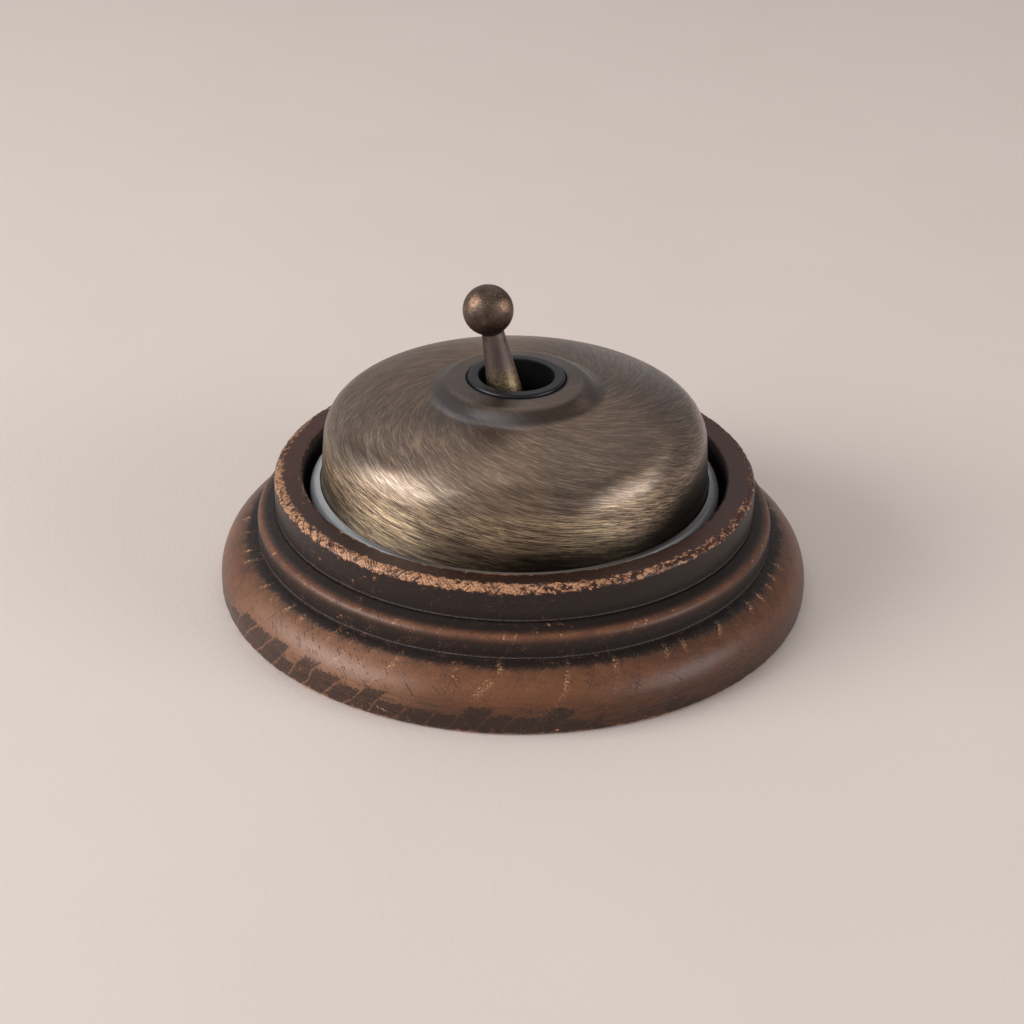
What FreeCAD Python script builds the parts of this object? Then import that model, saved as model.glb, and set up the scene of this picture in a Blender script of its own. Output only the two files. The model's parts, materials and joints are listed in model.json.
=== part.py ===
"""Surface toggle switch: a metal dome on a porcelain base in a turned wooden pattress.

The dome screws on a threaded insulating bush that surrounds the ball-ended lever.
Below it a steel bridge carries the lever, whose sprung plunger tips a seesaw contact
over from one fixed contact to the other (a two-way switch with an earthed frame).

Millimetres. +Z is up, the origin is the middle of the pattress's underside, the lever
swings in the XZ plane, and it rests at its left stop, leaning towards -X.
"""
import FreeCAD, Part
import math
import os
import re
import Sketcher
from FreeCAD import Placement, Rotation, Vector

# ---------------------------------------------------------------- driving sizes
SIZES = {
    # mechanism axes
    "lever_tilt": 11.5,             # degrees, lever either side of upright
    "rocker_tilt": 8.0,             # degrees, seesaw either side of level
    # general clearances
    "pin_clearance": 0.05,          # running fit, on the radius
    "fixed_clearance": 0.02,        # pressed or screwed fit, on the radius
    "hole_clearance": 0.2,          # free hole round a screw or rivet, on the radius
    "sheet_thickness": 0.8,         # brass contact strip
    # dome cover
    "dome_radius": 32.75,
    "dome_wall": 0.8,
    "dome_lean": 4.5,               # degrees, side leans in
    "dome_side_height": 9.6976,
    "haunch_radius": 6.0,
    "haunch_end": 69.0,             # degrees, where the haunch meets the crown
    "crown_radius": 39.0,
    "boss_flank_run": 1.9,
    "boss_flank_rise": 1.45,
    "boss_crest_run": 1.8,
    "boss_crest_rise": 0.65,
    "boss_crest_radius": 2.9,
    "boss_land_rise": 0.2,
    "dome_hole_gap": 0.17,          # dark ring seen round the bush
    # insulating bush and what it carries
    "bush_bore_radius": 6.24,
    "bush_thread_radius": 8.1,
    "bush_shank_radius": 7.4,
    "bush_flange_radius": 9.4,
    "bush_flange_height": 1.2,
    "bush_shank_below": 2.4,        # below the bridge
    "bush_proud": 0.5,              # above the hole in the dome
    "bush_outer_round": 0.55,
    "bush_bore_round": 0.4,
    "ring_nut_width": 1.35,
    "ring_nut_height": 1.9,
    "ring_nut_slot": 1.6,
    "cover_ring_width": 2.75,
    "cover_ring_side_gap": 1.5,     # to the boss's flank
    "cover_ring_height": 2.6,
    "cover_ring_chamfer": 0.6,
    "cover_ring_gap": 0.05,         # solder film under the boss
    "cover_ring_travel": 0.8685,     # thread left between ring and flange
    # porcelain base
    "rim_width": 1.8,               # shows round the dome
    "rim_gap": 0.1,                 # round the dome's foot
    "porcelain_height": 11.0,
    "porcelain_foot_round": 0.5,
    "spigot_gap": 0.45,
    "spigot_width": 2.0,
    "spigot_height": 2.5,
    "well_floor": 2.5,
    "wire_space": 4.8,              # between a terminal block and the end of its pocket
    "rib_half_width": 1.2,
    "pocket_margin": 1.55,          # round a terminal block
    "wire_hole_radius": 2.2,
    # wooden pattress
    "recess_gap": 1.1,
    "floor_height": 6.0,
    "ring_width": 4.8,
    "ring_proud": 3.3,              # ring above the porcelain
    "ring_edge_round": 1.2,
    "ring_bore_round": 0.6,
    "step_width": 3.05,
    "step_height": 2.9,
    "step_round": 1.3,
    "step_slope": 20.0,             # degrees
    "shoulder_width": 6.5,
    "shoulder_radius": 7.2,
    "foot_height": 2.3,
    "foot_round": 0.8,
    "groove_depth": 0.35,
    "groove_width": 0.25,
    "wall_sink_margin": 0.2,        # wood between a countersink and the cable opening
    "wall_hole_radius": 2.1,
    "wall_sink_radius": 3.8,
    "pilot_hole_floor": 1.0,
    # porcelain fixing screws
    "base_screw_inset": 0.5,        # head inside the spigot's outer face
    "pilot_wall": 0.6,              # wood between a pilot hole and the cable opening
    "base_screw_radius": 1.6,
    "base_screw_head_radius": 2.8,
    "base_screw_head_height": 2.0,
    "base_screw_tip_gap": 0.8,      # to the floor of the pilot hole
    "base_screw_drop": 4.0,         # seat below the porcelain's top
    "washer_width": 1.5,
    "washer_thickness": 0.85,
    # steel bridge
    "bridge_thickness": 1.0,
    "plate_margin": 0.4,            # plate round the bush's flange
    "cheek_half_width": 5.5,
    "cheek_margin": 0.45,           # between the ring nut and a cheek
    "bridge_foot_length": 6.8,
    "bridge_bend_round": 0.7,
    "earth_tab_length": 10.0,
    "earth_screw_inset": 3.5,
    "earth_screw_reach": 3.5,       # below the tab
    # small screws
    "screw_radius": 1.25,
    "screw_head_radius": 2.5,
    "screw_head_height": 1.7,
    "screw_slot_width": 0.6,
    "screw_slot_depth": 0.8,
    "frame_nut_width": 5.5,         # across flats
    "frame_nut_height": 2.2,
    "nut_recess": 0.3,
    "clamp_width": 6.0,
    "clamp_gap": 0.05,
    # lever
    "ball_radius": 4.17,
    "ball_distance": 24.1,
    "stem_top_radius": 1.875,
    "stem_root_radius": 3.5,
    "stem_root_height": 3.0,
    "tail_radius": 2.6,
    "tail_nose": 1.7,               # tail's end to the middle of the plunger's tip
    "lever_bore_radius": 1.6,
    "lever_bore_top": 5.0,
    "barrel_radius": 2.2,
    "barrel_end_gap": 0.4,          # to each cheek
    "barrel_top_gap": 0.4,          # to the bush
    "lever_pin_radius": 1.0,
    "lever_pin_inset": 3.0,
    "lever_pin_proud": 0.5,
    # plunger and its spring
    "plunger_clearance": 0.06,
    "tip_low": 4.1,                 # seesaw's axis to the middle of the tip at mid-swing
    "plunger_length": 4.7,
    "spring_wire_radius": 0.2,
    "spring_gap": 0.15,
    "spring_turns": 7.0,
    # seesaw contact
    "saddle_half_length": 4.2,
    "saddle_half_width": 2.6,
    "valley_depth": 0.76,
    "saddle_bottom": 1.05,
    "valley_gap": 0.12,
    "rocker_pin_radius": 0.9,
    "blade_end_margin": 0.1,
    "blade_half_width": 3.45,
    "blade_seat_gap": 0.05,
    "ear_radius": 2.2,
    "ear_thickness": 0.7,
    "moving_contact_offset": 7.8,
    "moving_contact_radius": 1.5,
    "moving_contact_height": 0.6,
    "contact_gap": 0.1,
    "saddle_rivet_offset": 3.35,
    "saddle_rivet_radius": 0.5,
    "saddle_rivet_head": 0.75,
    "saddle_rivet_head_height": 0.35,
    # cradle, strips and studs
    "cradle_gap": 0.35,             # beside the blade's ears
    "cradle_half_length": 3.2,
    "cradle_ear_radius": 2.4,
    "cradle_arm_width": 2.2,
    "strip_half_width": 1.9,
    "strip_neck": 2.2,
    "strip_margin": 0.2,            # strip round a stud or rivet
    "strip_edge_gap": 0.3,          # to the porcelain
    "stud_radius": 1.6,
    "stud_height": 1.0388,
    "stud_dome_height": 0.45,
    "contact_rivet_gap": 0.22,      # between a stud and the rivet's head
    "contact_rivet_radius": 0.9,
    "contact_rivet_head": 1.6,
    "contact_rivet_head_height": 0.6,
    "rivet_recess_height": 1.2,
    # terminals
    "terminal_rib_gap": 1.4,        # to the rib between the pockets
    "terminal_side": 6.0,
    "terminal_height": 7.9,
    "terminal_chamfer": 0.4,
    "wire_bore_radius": 1.6,
    "wire_bore_height": 4.1,        # above the block's foot
    "clamp_screw_lift": 0.5,        # head above the block
    "block_screw_grip": 1.8,        # thread in the block's foot
    "block_screw_recess": 1.9,
    "head_recess": 0.2,
}

# Sizes that follow from the driving ones; a formula may use another formula's name.
FORMULAS = {
    "porcelain_top": "floor_height + porcelain_height",
    "porcelain_radius": "dome_radius + rim_width",
    "rim_round": "rim_width - rim_gap",
    "spigot_radius": "dome_radius - dome_wall - spigot_gap",
    "recess_radius": "porcelain_radius + recess_gap",
    "ring_radius": "recess_radius + ring_width",
    "ring_top": "porcelain_top + ring_proud",
    "step_radius": "ring_radius + step_width",
    "base_radius": "step_radius + shoulder_width",
    "shoulder_top": "foot_height + sqrt(shoulder_radius^2 - (shoulder_radius - shoulder_width)^2)",
    "step_arc_start": "shoulder_top + step_height",
    "step_arc_end_radius": "step_radius - step_round * (1 - cos(90 - step_slope))",
    "step_arc_end_height": "step_arc_start + step_round * sin(90 - step_slope)",
    "slope_end_height": "step_arc_end_height"
                        " + (step_arc_end_radius - ring_radius - groove_width) * tan(step_slope)",
    "haunch_axis_radius": "dome_radius - dome_side_height * tan(dome_lean) - haunch_radius * cos(dome_lean)",
    "haunch_axis_height": "porcelain_top + dome_side_height - haunch_radius * sin(dome_lean)",
    "cover_ring_bore": "bush_thread_radius + pin_clearance",
    "cover_ring_radius": "cover_ring_bore + cover_ring_width",
    "boss_radius": "cover_ring_radius + cover_ring_side_gap + boss_flank_run",
    "crown_axis_radius": "haunch_axis_radius - (crown_radius - haunch_radius) * cos(haunch_end)",
    "crown_axis_height": "haunch_axis_height - (crown_radius - haunch_radius) * sin(haunch_end)",
    "boss_foot_height": "crown_axis_height + sqrt(crown_radius^2 - (boss_radius - crown_axis_radius)^2)",
    "boss_flank_top": "boss_foot_height + boss_flank_rise",
    "boss_crest_height": "boss_flank_top + boss_crest_rise",
    "dome_hole_radius": "bush_thread_radius + dome_hole_gap",
    "dome_hole_height": "boss_crest_height + boss_land_rise",
    "bush_top": "dome_hole_height + bush_proud",
    "cover_ring_top": "boss_crest_height - dome_wall - cover_ring_gap",
    "cover_ring_bottom": "cover_ring_top - cover_ring_height",
    "bridge_top": "cover_ring_bottom - cover_ring_travel - bush_flange_height",
    "bridge_underside": "bridge_top - bridge_thickness",
    "bush_bottom": "bridge_underside - bush_shank_below",
    "ring_nut_radius": "bush_shank_radius + ring_nut_width",
    "lever_axis_height": "bush_bottom - barrel_top_gap - barrel_radius",
    "well_bottom": "floor_height + well_floor",
    "strip_top": "well_bottom + sheet_thickness",
    "block_top": "strip_top + terminal_height",
    "foot_top": "porcelain_top + bridge_thickness",
    "bridge_half_length": "bush_flange_radius + plate_margin",
    "cheek_gap": "ring_nut_radius + cheek_margin",
    "cheek_outside": "cheek_gap + bridge_thickness",
    "foot_end": "cheek_outside + bridge_foot_length",
    "frame_screw_across": "cheek_outside + bridge_foot_length / 2",
    "earth_tab_end": "cheek_half_width + earth_tab_length",
    "earth_screw_along": "earth_tab_end - earth_screw_inset",
    "base_screw_offset": "spigot_radius - base_screw_head_radius - base_screw_inset",
    "base_screw_seat_height": "porcelain_top - base_screw_drop",
    "base_screw_tip": "pilot_hole_floor + base_screw_tip_gap",
    "base_screw_head_foot": "base_screw_seat_height + washer_thickness",
    "cable_opening_radius": "base_screw_offset - base_screw_radius - pilot_wall",
    "wall_hole_offset": "cable_opening_radius + wall_sink_margin + wall_sink_radius",
    "barrel_half_width": "cheek_gap - barrel_end_gap",
    "plunger_radius": "lever_bore_radius - plunger_clearance",
    "plunger_reach": "lever_axis_height - rocker_axis_height - tip_low",
    "plunger_top": "plunger_length - plunger_reach",
    "tail_length": "plunger_reach - tail_nose",
    "spring_radius": "lever_bore_radius - spring_gap - spring_wire_radius",
    "spring_bottom": "plunger_top + spring_wire_radius + clamp_gap",
    "spring_top": "lever_bore_top - spring_wire_radius - clamp_gap",
    # the end of the path of the plunger's tip, seen from the seesaw
    "tip_end_across": "plunger_reach * sin(lever_tilt)",
    "tip_end_up": "lever_axis_height - rocker_axis_height - plunger_reach * cos(lever_tilt)",
    "path_across": "tip_end_across * cos(rocker_tilt) - tip_end_up * sin(rocker_tilt)",
    "path_rise": "tip_end_across * sin(rocker_tilt) + tip_end_up * cos(rocker_tilt) - tip_low",
    "path_radius": "(path_across^2 + path_rise^2) / (2 * path_rise)",
    "valley_axis": "tip_low + path_radius",
    "valley_radius": "path_radius + plunger_radius + valley_gap",
    "saddle_top": "valley_axis - valley_radius + valley_depth",
    "blade_top": "saddle_bottom + blade_seat_gap",
    "blade_bottom": "blade_top + sheet_thickness",
    "moving_contact_face": "blade_bottom + moving_contact_height",
    "blade_half_length": "moving_contact_offset + moving_contact_radius + blade_end_margin",
    "stud_along": "moving_contact_offset * cos(rocker_tilt) - moving_contact_face * sin(rocker_tilt)",
    "stud_top": "strip_top + stud_height",
    "rocker_axis_height": "stud_top + contact_gap + moving_contact_offset * sin(rocker_tilt)"
                          " + moving_contact_face * cos(rocker_tilt)",
    "strip_inner_end": "stud_along - stud_radius - strip_margin",
    "contact_rivet_offset": "stud_along + stud_radius + contact_rivet_gap + contact_rivet_head",
    "strip_bar_end": "contact_rivet_offset + contact_rivet_head + strip_margin",
    "strip_foot_start": "strip_bar_end - strip_neck",
    "well_half_length": "strip_bar_end + strip_edge_gap",
    "terminal_along": "strip_bar_end + terminal_side / 2",
    "terminal_across": "rib_half_width + terminal_rib_gap + terminal_side / 2",
    "cradle_inside": "blade_half_width + cradle_gap",
    "cradle_outside": "cradle_inside + sheet_thickness",
    "block_far": "terminal_along + terminal_side / 2",
    "pocket_end": "block_far + wire_space",
    "wire_hole_along": "block_far + wire_space / 2",
    "block_inside": "terminal_across - terminal_side / 2",
    "block_outside": "terminal_across + terminal_side / 2",
    "well_half_width": "block_outside + strip_margin",
    "wire_bore_axis": "strip_top + wire_bore_height",
    "block_screw_head_foot": "floor_height + head_recess",
}

SIDES = ("1", "-1")
LEFT = "-1"
RIGHT = "1"
FRONT = "-1"
BACK = "1"

doc = FreeCAD.newDocument("toggle_switch")
sheet = doc.addObject("Spreadsheet::Sheet", "sizes")
nodes = []


# ---------------------------------------------------------------- sheet and formulas
def fill_sheet():
    """Put each driving size in the sheet: its name in column A, its value in column B."""
    for row, (name, number) in enumerate(SIZES.items(), start=1):
        sheet.set(f"A{row}", name)
        sheet.set(f"B{row}", str(number))
        sheet.setAlias(f"B{row}", name)
    doc.recompute()


NAME = re.compile(r"[a-z]+(?:_[a-z]+)+")


def bound(formula):
    """Write a formula of size names as an expression on the sheet."""
    def expand(match):
        word = match.group()
        if word in FORMULAS:
            return "(" + bound(FORMULAS[word]) + ")"
        return "sizes." + word
    return NAME.sub(expand, formula)


def value(formula):
    """The number that a formula has now."""
    result = sheet.evalExpression(bound(formula))
    return float(getattr(result, "Value", result))


def drive(thing, **formulas):
    """Bind properties to formulas; x, y and z stand for the placement's base."""
    for name, formula in formulas.items():
        path = f"Placement.Base.{name}" if name in ("x", "y", "z") else name
        thing.setExpression(path, bound(formula))
    return thing


def node(label, thing):
    """Name a finished sub-part and keep it for the export."""
    thing.Label = label
    nodes.append(thing)
    return thing


# ---------------------------------------------------------------- sketches and bodies
def sketch_on(body, role, name, lift=None):
    """A sketch on one of the body's own origin planes, lifted along its normal."""
    plane = [item for item in body.Origin.OriginFeatures if item.Role == role][0]
    sketch = body.newObject("Sketcher::SketchObject", name)
    sketch.AttachmentSupport = (plane, [""])
    sketch.MapMode = "FlatFace"
    if lift is not None:
        sketch.setExpression("AttachmentOffset.Base.z", bound(lift))
    return sketch


def pin_point(sketch, index, end, across, up):
    """Fix one end of an edge by two formulas; a plain "0" puts it on the axis."""
    for kind, formula, axis in (("DistanceX", across, -2), ("DistanceY", up, -1)):
        if formula == "0":
            sketch.addConstraint(Sketcher.Constraint("PointOnObject", index, end, axis))
            continue
        rule = Sketcher.Constraint(kind, -1, 1, index, end, value(formula))
        place = sketch.addConstraint(rule)
        sketch.setExpression(f"Constraints[{place}]", bound(formula))


def arc_between(start, finish, radius, turn):
    """The shorter arc from start to finish; turn is 1 for anticlockwise, -1 for clockwise."""
    chord = finish - start
    rise = math.sqrt(max(radius ** 2 - (chord.Length / 2) ** 2, 0))
    normal = Vector(-chord.y, chord.x, 0).normalize()
    centre = (start + finish) * 0.5 + normal * rise * turn
    ends = (start, finish) if turn > 0 else (finish, start)
    angles = [math.atan2(end.y - centre.y, end.x - centre.x) for end in ends]
    return Part.ArcOfCircle(Part.Circle(centre, Vector(0, 0, 1), radius), *angles)


def outline(sketch, points):
    """Draw a closed outline of (across, up) formulas.

    A third entry (radius, turn) makes the edge that leaves the point an arc.
    """
    places = [Vector(value(point[0]), value(point[1]), 0) for point in points]
    ends = []
    for index, point in enumerate(points):
        start = places[index]
        finish = places[(index + 1) % len(points)]
        if len(point) == 3:
            radius, turn = point[2]
            sketch.addGeometry(arc_between(start, finish, value(radius), turn), False)
            ends.append((1, 2) if turn > 0 else (2, 1))
            rule = Sketcher.Constraint("Radius", index, value(radius))
            place = sketch.addConstraint(rule)
            sketch.setExpression(f"Constraints[{place}]", bound(radius))
        else:
            sketch.addGeometry(Part.LineSegment(start, finish), False)
            ends.append((1, 2))
    for index, point in enumerate(points):
        before = index - 1 if index else len(points) - 1
        sketch.addConstraint(
            Sketcher.Constraint("Coincident", before, ends[before][1], index, ends[index][0]))
        pin_point(sketch, index, ends[index][0], point[0], point[1])


def turned(name, points):
    """A body turned about Z from an outline of (radius, height) formulas."""
    body = doc.addObject("PartDesign::Body", name)
    sketch = sketch_on(body, "XZ_Plane", name + "_profile")
    outline(sketch, points)
    turning = body.newObject("PartDesign::Revolution", name + "_turning")
    turning.Profile = sketch
    turning.ReferenceAxis = (sketch, ["V_Axis"])
    turning.Angle = 360
    return body


def add_pad(body, role, name, points, length, lift=None, symmetric=False):
    """Pad an outline on one of the body's planes."""
    sketch = sketch_on(body, role, name + "_outline", lift)
    outline(sketch, points)
    pad = body.newObject("PartDesign::Pad", name + "_pad")
    pad.Profile = sketch
    if symmetric:
        pad.SideType = "Symmetric"
    pad.setExpression("Length", bound(length))
    return pad


def circle_sketch(body, role, name, circles):
    """A sketch of circles, each (across, up, radius)."""
    sketch = sketch_on(body, role, name)
    for index, (across, up, radius) in enumerate(circles):
        middle = Vector(value(across), value(up), 0)
        sketch.addGeometry(Part.Circle(middle, Vector(0, 0, 1), value(radius)), False)
        pin_point(sketch, index, 3, across, up)
        rule = Sketcher.Constraint("Radius", index, value(radius))
        place = sketch.addConstraint(rule)
        sketch.setExpression(f"Constraints[{place}]", bound(radius))
    return sketch


def drill(body, role, name, circles):
    """Drill circles right through the body, both ways from the plane."""
    pocket = body.newObject("PartDesign::Pocket", name + "_pocket")
    pocket.Profile = circle_sketch(body, role, name, circles)
    pocket.SideType = "Symmetric"
    pocket.Type = "ThroughAll"
    return pocket


# ---------------------------------------------------------------- primitives and booleans
def box(name, x, y, z):
    """A box between pairs of formulas along each axis."""
    block = doc.addObject("Part::Box", name)
    spans = {"Length": x, "Width": y, "Height": z}
    for side, (low, high) in spans.items():
        block.setExpression(side, bound(f"({high}) - ({low})"))
    return drive(block, x=x[0], y=y[0], z=z[0])


def rod(name, radius, span, along="Z", a="0", b="0"):
    """A cylinder over a span of one axis; a and b place it on the other two, in order."""
    turns = {"X": Rotation(Vector(0, 1, 0), 90),
             "Y": Rotation(Vector(1, 0, 0), -90),
             "Z": Rotation()}
    homes = {"X": (span[0], a, b), "Y": (a, span[0], b), "Z": (a, b, span[0])}
    cylinder = doc.addObject("Part::Cylinder", name)
    cylinder.Placement = Placement(Vector(), turns[along])
    x, y, z = homes[along]
    return drive(cylinder, Radius=radius, Height=f"({span[1]}) - ({span[0]})", x=x, y=y, z=z)


def cone(name, low_radius, high_radius, span, a="0", b="0"):
    """A cone standing on Z."""
    solid = doc.addObject("Part::Cone", name)
    return drive(solid, Radius1=low_radius, Radius2=high_radius,
                 Height=f"({span[1]}) - ({span[0]})", x=a, y=b, z=span[0])


def fused(name, shapes):
    """One solid from several that overlap, or one tool from several that don't."""
    union = doc.addObject("Part::MultiFuse", name)
    union.Shapes = shapes
    return union


def cut(name, base, tools):
    """Cut a list of tools out of a base."""
    difference = doc.addObject("Part::Cut", name)
    difference.Base = base
    difference.Tool = tools[0] if len(tools) == 1 else fused(name + "_tools", tools)
    return difference


def moved(name, source, **place):
    """The same solid again at another place."""
    copy = doc.addObject("Part::Compound", name)
    copy.Links = [source]
    return drive(copy, **place)


def group(name, shapes):
    """Separate identical solids in one node."""
    holder = doc.addObject("Part::Compound", name)
    holder.Links = shapes
    return holder


def tilt(thing, height, angle):
    """Set a piece that is built about its own axis on that axis, turned about Y."""
    thing.Placement = Placement(Vector(), Rotation(Vector(0, 1, 0), 1))
    thing.setExpression("Placement.Base.z", bound(height))
    thing.setExpression("Placement.Rotation.Angle", bound(angle))
    return thing


def slotted_screw(name, seat, tip, shank, head, head_height):
    """A slotted screw on the Z axis: seat is under its head, tip is its lower end."""
    solid = turned(name + "_blank", [
        ("0", tip),
        (f"{shank} - screw_slot_width / 2", tip),
        (shank, f"{tip} + screw_slot_width / 2"),
        (shank, seat),
        (head, seat),
        (head, f"{seat} + 0.55 * {head_height}", (f"0.45 * {head_height}", 1)),
        (f"{head} - 0.45 * {head_height}", f"{seat} + {head_height}"),
        ("0", f"{seat} + {head_height}"),
    ])
    slot = box(name + "_slot", (f"-{head} - 1", f"{head} + 1"),
               ("-screw_slot_width / 2", "screw_slot_width / 2"),
               (f"{seat} + {head_height} - screw_slot_depth", f"{seat} + {head_height} + 1"))
    return cut(name, solid, [slot])


# ---------------------------------------------------------------- wooden pattress
def wood_pattress():
    """Turned ring of beech: foot, round shoulder, stepped bead, upper ring and recess."""
    blank = turned("pattress_blank", [
        ("cable_opening_radius", "0"),
        ("base_radius - foot_round", "0", ("foot_round", 1)),
        ("base_radius", "foot_round"),
        ("base_radius", "foot_height", ("shoulder_radius", 1)),
        ("step_radius", "shoulder_top"),
        ("step_radius - groove_depth", "shoulder_top + groove_width / 2"),
        ("step_radius", "shoulder_top + groove_width"),
        ("step_radius", "step_arc_start", ("step_round", 1)),
        ("step_arc_end_radius", "step_arc_end_height"),
        ("ring_radius + groove_width", "slope_end_height"),
        ("ring_radius - groove_depth", "slope_end_height"),
        ("ring_radius", "slope_end_height + groove_width"),
        ("ring_radius", "ring_top - ring_edge_round", ("ring_edge_round", 1)),
        ("ring_radius - ring_edge_round", "ring_top"),
        ("recess_radius + ring_bore_round", "ring_top", ("ring_bore_round", 1)),
        ("recess_radius", "ring_top - ring_bore_round"),
        ("recess_radius", "floor_height"),
        ("cable_opening_radius", "floor_height"),
    ])
    tools = []
    for side in SIDES:
        along = f"{side} * wall_hole_offset"
        tools.append(rod(f"wall_hole{side}", "wall_hole_radius", ("-1", "floor_height + 1"), a=along))
        sink = "wall_sink_radius - wall_hole_radius"
        tools.append(cone(f"wall_sink{side}", "wall_hole_radius", "wall_sink_radius",
                          (f"floor_height - ({sink})", "floor_height"), a=along))
        tools.append(rod(f"pilot_hole{side}", "base_screw_radius + fixed_clearance",
                         ("pilot_hole_floor", "floor_height + 1"), b=f"{side} * base_screw_offset"))
    node("wood_pattress", cut("pattress", blank, tools))


# ---------------------------------------------------------------- porcelain base
def porcelain_base():
    """Round porcelain block: rim, seat and spigot for the dome, well and terminal pockets."""
    blank = turned("porcelain_blank", [
        ("0", "floor_height"),
        ("porcelain_radius - porcelain_foot_round", "floor_height", ("porcelain_foot_round", 1)),
        ("porcelain_radius", "floor_height + porcelain_foot_round"),
        ("porcelain_radius", "porcelain_top", ("rim_round", 1)),
        ("porcelain_radius - rim_round", "porcelain_top + rim_round"),
        ("porcelain_radius - rim_round", "porcelain_top"),
        ("spigot_radius", "porcelain_top"),
        ("spigot_radius", "porcelain_top + spigot_height"),
        ("spigot_radius - spigot_width", "porcelain_top + spigot_height"),
        ("spigot_radius - spigot_width", "porcelain_top"),
        ("0", "porcelain_top"),
    ])
    above = "porcelain_top + spigot_height + 1"
    below = "floor_height - 1"
    tools = [box("well", ("-well_half_length", "well_half_length"),
                 ("-well_half_width", "well_half_width"), ("well_bottom", above))]
    for side in SIDES:
        for across in SIDES:
            tag = f"{side}{across}"
            low, high = sorted((f"{side} * well_half_length", f"{side} * pocket_end"), key=value)
            span = sorted((f"{across} * rib_half_width",
                           f"{across} * (block_outside + pocket_margin)"), key=value)
            tools.append(box("pocket" + tag, (low, high), tuple(span), ("well_bottom", above)))
            tools.append(rod("wire_hole" + tag, "wire_hole_radius", (below, above),
                             a=f"{side} * wire_hole_along",
                             b=f"{across} * terminal_across"))
        across = f"{side} * frame_screw_across"
        tools.append(rod("frame_hole" + side, "screw_radius + hole_clearance", (below, above), b=across))
        tools.append(hexagon("nut_pocket" + side, "frame_nut_width / 2 + hole_clearance",
                             (below, "floor_height + nut_recess + frame_nut_height"), across))
        across = f"{side} * base_screw_offset"
        tools.append(rod("base_hole" + side, "base_screw_radius + hole_clearance", (below, above), b=across))
        tools.append(rod("base_seat" + side, "base_screw_head_radius + 2 * hole_clearance",
                         ("base_screw_seat_height", above), b=across))
    for place, (along, across) in enumerate(terminal_places()):
        tools.append(rod(f"block_hole{place}", "screw_radius + hole_clearance", (below, above),
                         a=along, b=across))
        tools.append(rod(f"block_recess{place}", "screw_head_radius + hole_clearance",
                         (below, "floor_height + block_screw_recess"), a=along, b=across))
    for place in rivet_places():
        tools.append(rod("rivet_hole" + place, "contact_rivet_radius + hole_clearance", (below, above),
                         a=f"{place} * contact_rivet_offset"))
        tools.append(rod("rivet_recess" + place, "contact_rivet_head + hole_clearance",
                         (below, "floor_height + rivet_recess_height"),
                         a=f"{place} * contact_rivet_offset"))
    tools.append(rod("earth_hole", "screw_radius + hole_clearance",
                     ("porcelain_top - earth_screw_reach - well_floor", above),
                     a="-1 * earth_screw_along", b="frame_screw_across"))
    node("porcelain_base", cut("porcelain", blank, tools))


def hexagon(name, flat_radius, span, across):
    """A hexagonal prism on Z, given half its width across flats."""
    prism = doc.addObject("Part::Prism", name)
    prism.Polygon = 6
    return drive(prism, Circumradius=f"({flat_radius}) / cos(30)",
                 Height=f"({span[1]}) - ({span[0]})", y=across, z=span[0])


def terminal_places():
    """Middle of each terminal block: left, right and common."""
    return [("-1 * terminal_along", "-1 * terminal_across"),
            ("terminal_along", "-1 * terminal_across"),
            ("terminal_along", "terminal_across")]


def rivet_places():
    """The contact rivets, as multiples of their spacing: left strip, cradle, right strip."""
    return ("-1", "0", "1")


# ---------------------------------------------------------------- dome and bush
def dome_cover():
    """Spun metal shell: leaning side, haunch, crown and a raised boss with the hole."""
    inner = "(haunch_radius - dome_wall)"
    crown_inner = "(crown_radius - dome_wall)"
    inner_foot = f"crown_axis_height + sqrt({crown_inner}^2 - (boss_radius - crown_axis_radius)^2)"
    flank = "atan(boss_flank_rise / boss_flank_run)"
    body = turned("dome_cover", [
        ("dome_radius", "porcelain_top"),
        (f"haunch_axis_radius + haunch_radius * cos(dome_lean)",
         "haunch_axis_height + haunch_radius * sin(dome_lean)", ("haunch_radius", 1)),
        ("haunch_axis_radius + haunch_radius * cos(haunch_end)",
         "haunch_axis_height + haunch_radius * sin(haunch_end)", ("crown_radius", 1)),
        ("boss_radius", "boss_foot_height"),
        ("boss_radius - boss_flank_run", "boss_flank_top", ("boss_crest_radius", 1)),
        ("boss_radius - boss_flank_run - boss_crest_run", "boss_crest_height"),
        ("dome_hole_radius", "dome_hole_height"),
        ("dome_hole_radius", "dome_hole_height - dome_wall"),
        ("boss_radius - boss_flank_run - boss_crest_run", "boss_crest_height - dome_wall"),
        (f"boss_radius - boss_flank_run - dome_wall * sin({flank})",
         f"boss_flank_top - dome_wall * cos({flank})"),
        ("boss_radius", inner_foot, ("crown_radius - dome_wall", -1)),
        (f"haunch_axis_radius + {inner} * cos(haunch_end)",
         f"haunch_axis_height + {inner} * sin(haunch_end)", ("haunch_radius - dome_wall", -1)),
        (f"haunch_axis_radius + {inner} * cos(dome_lean)",
         f"haunch_axis_height + {inner} * sin(dome_lean)"),
        ("dome_radius - dome_wall", "porcelain_top"),
    ])
    node("dome_cover", body)


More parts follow.
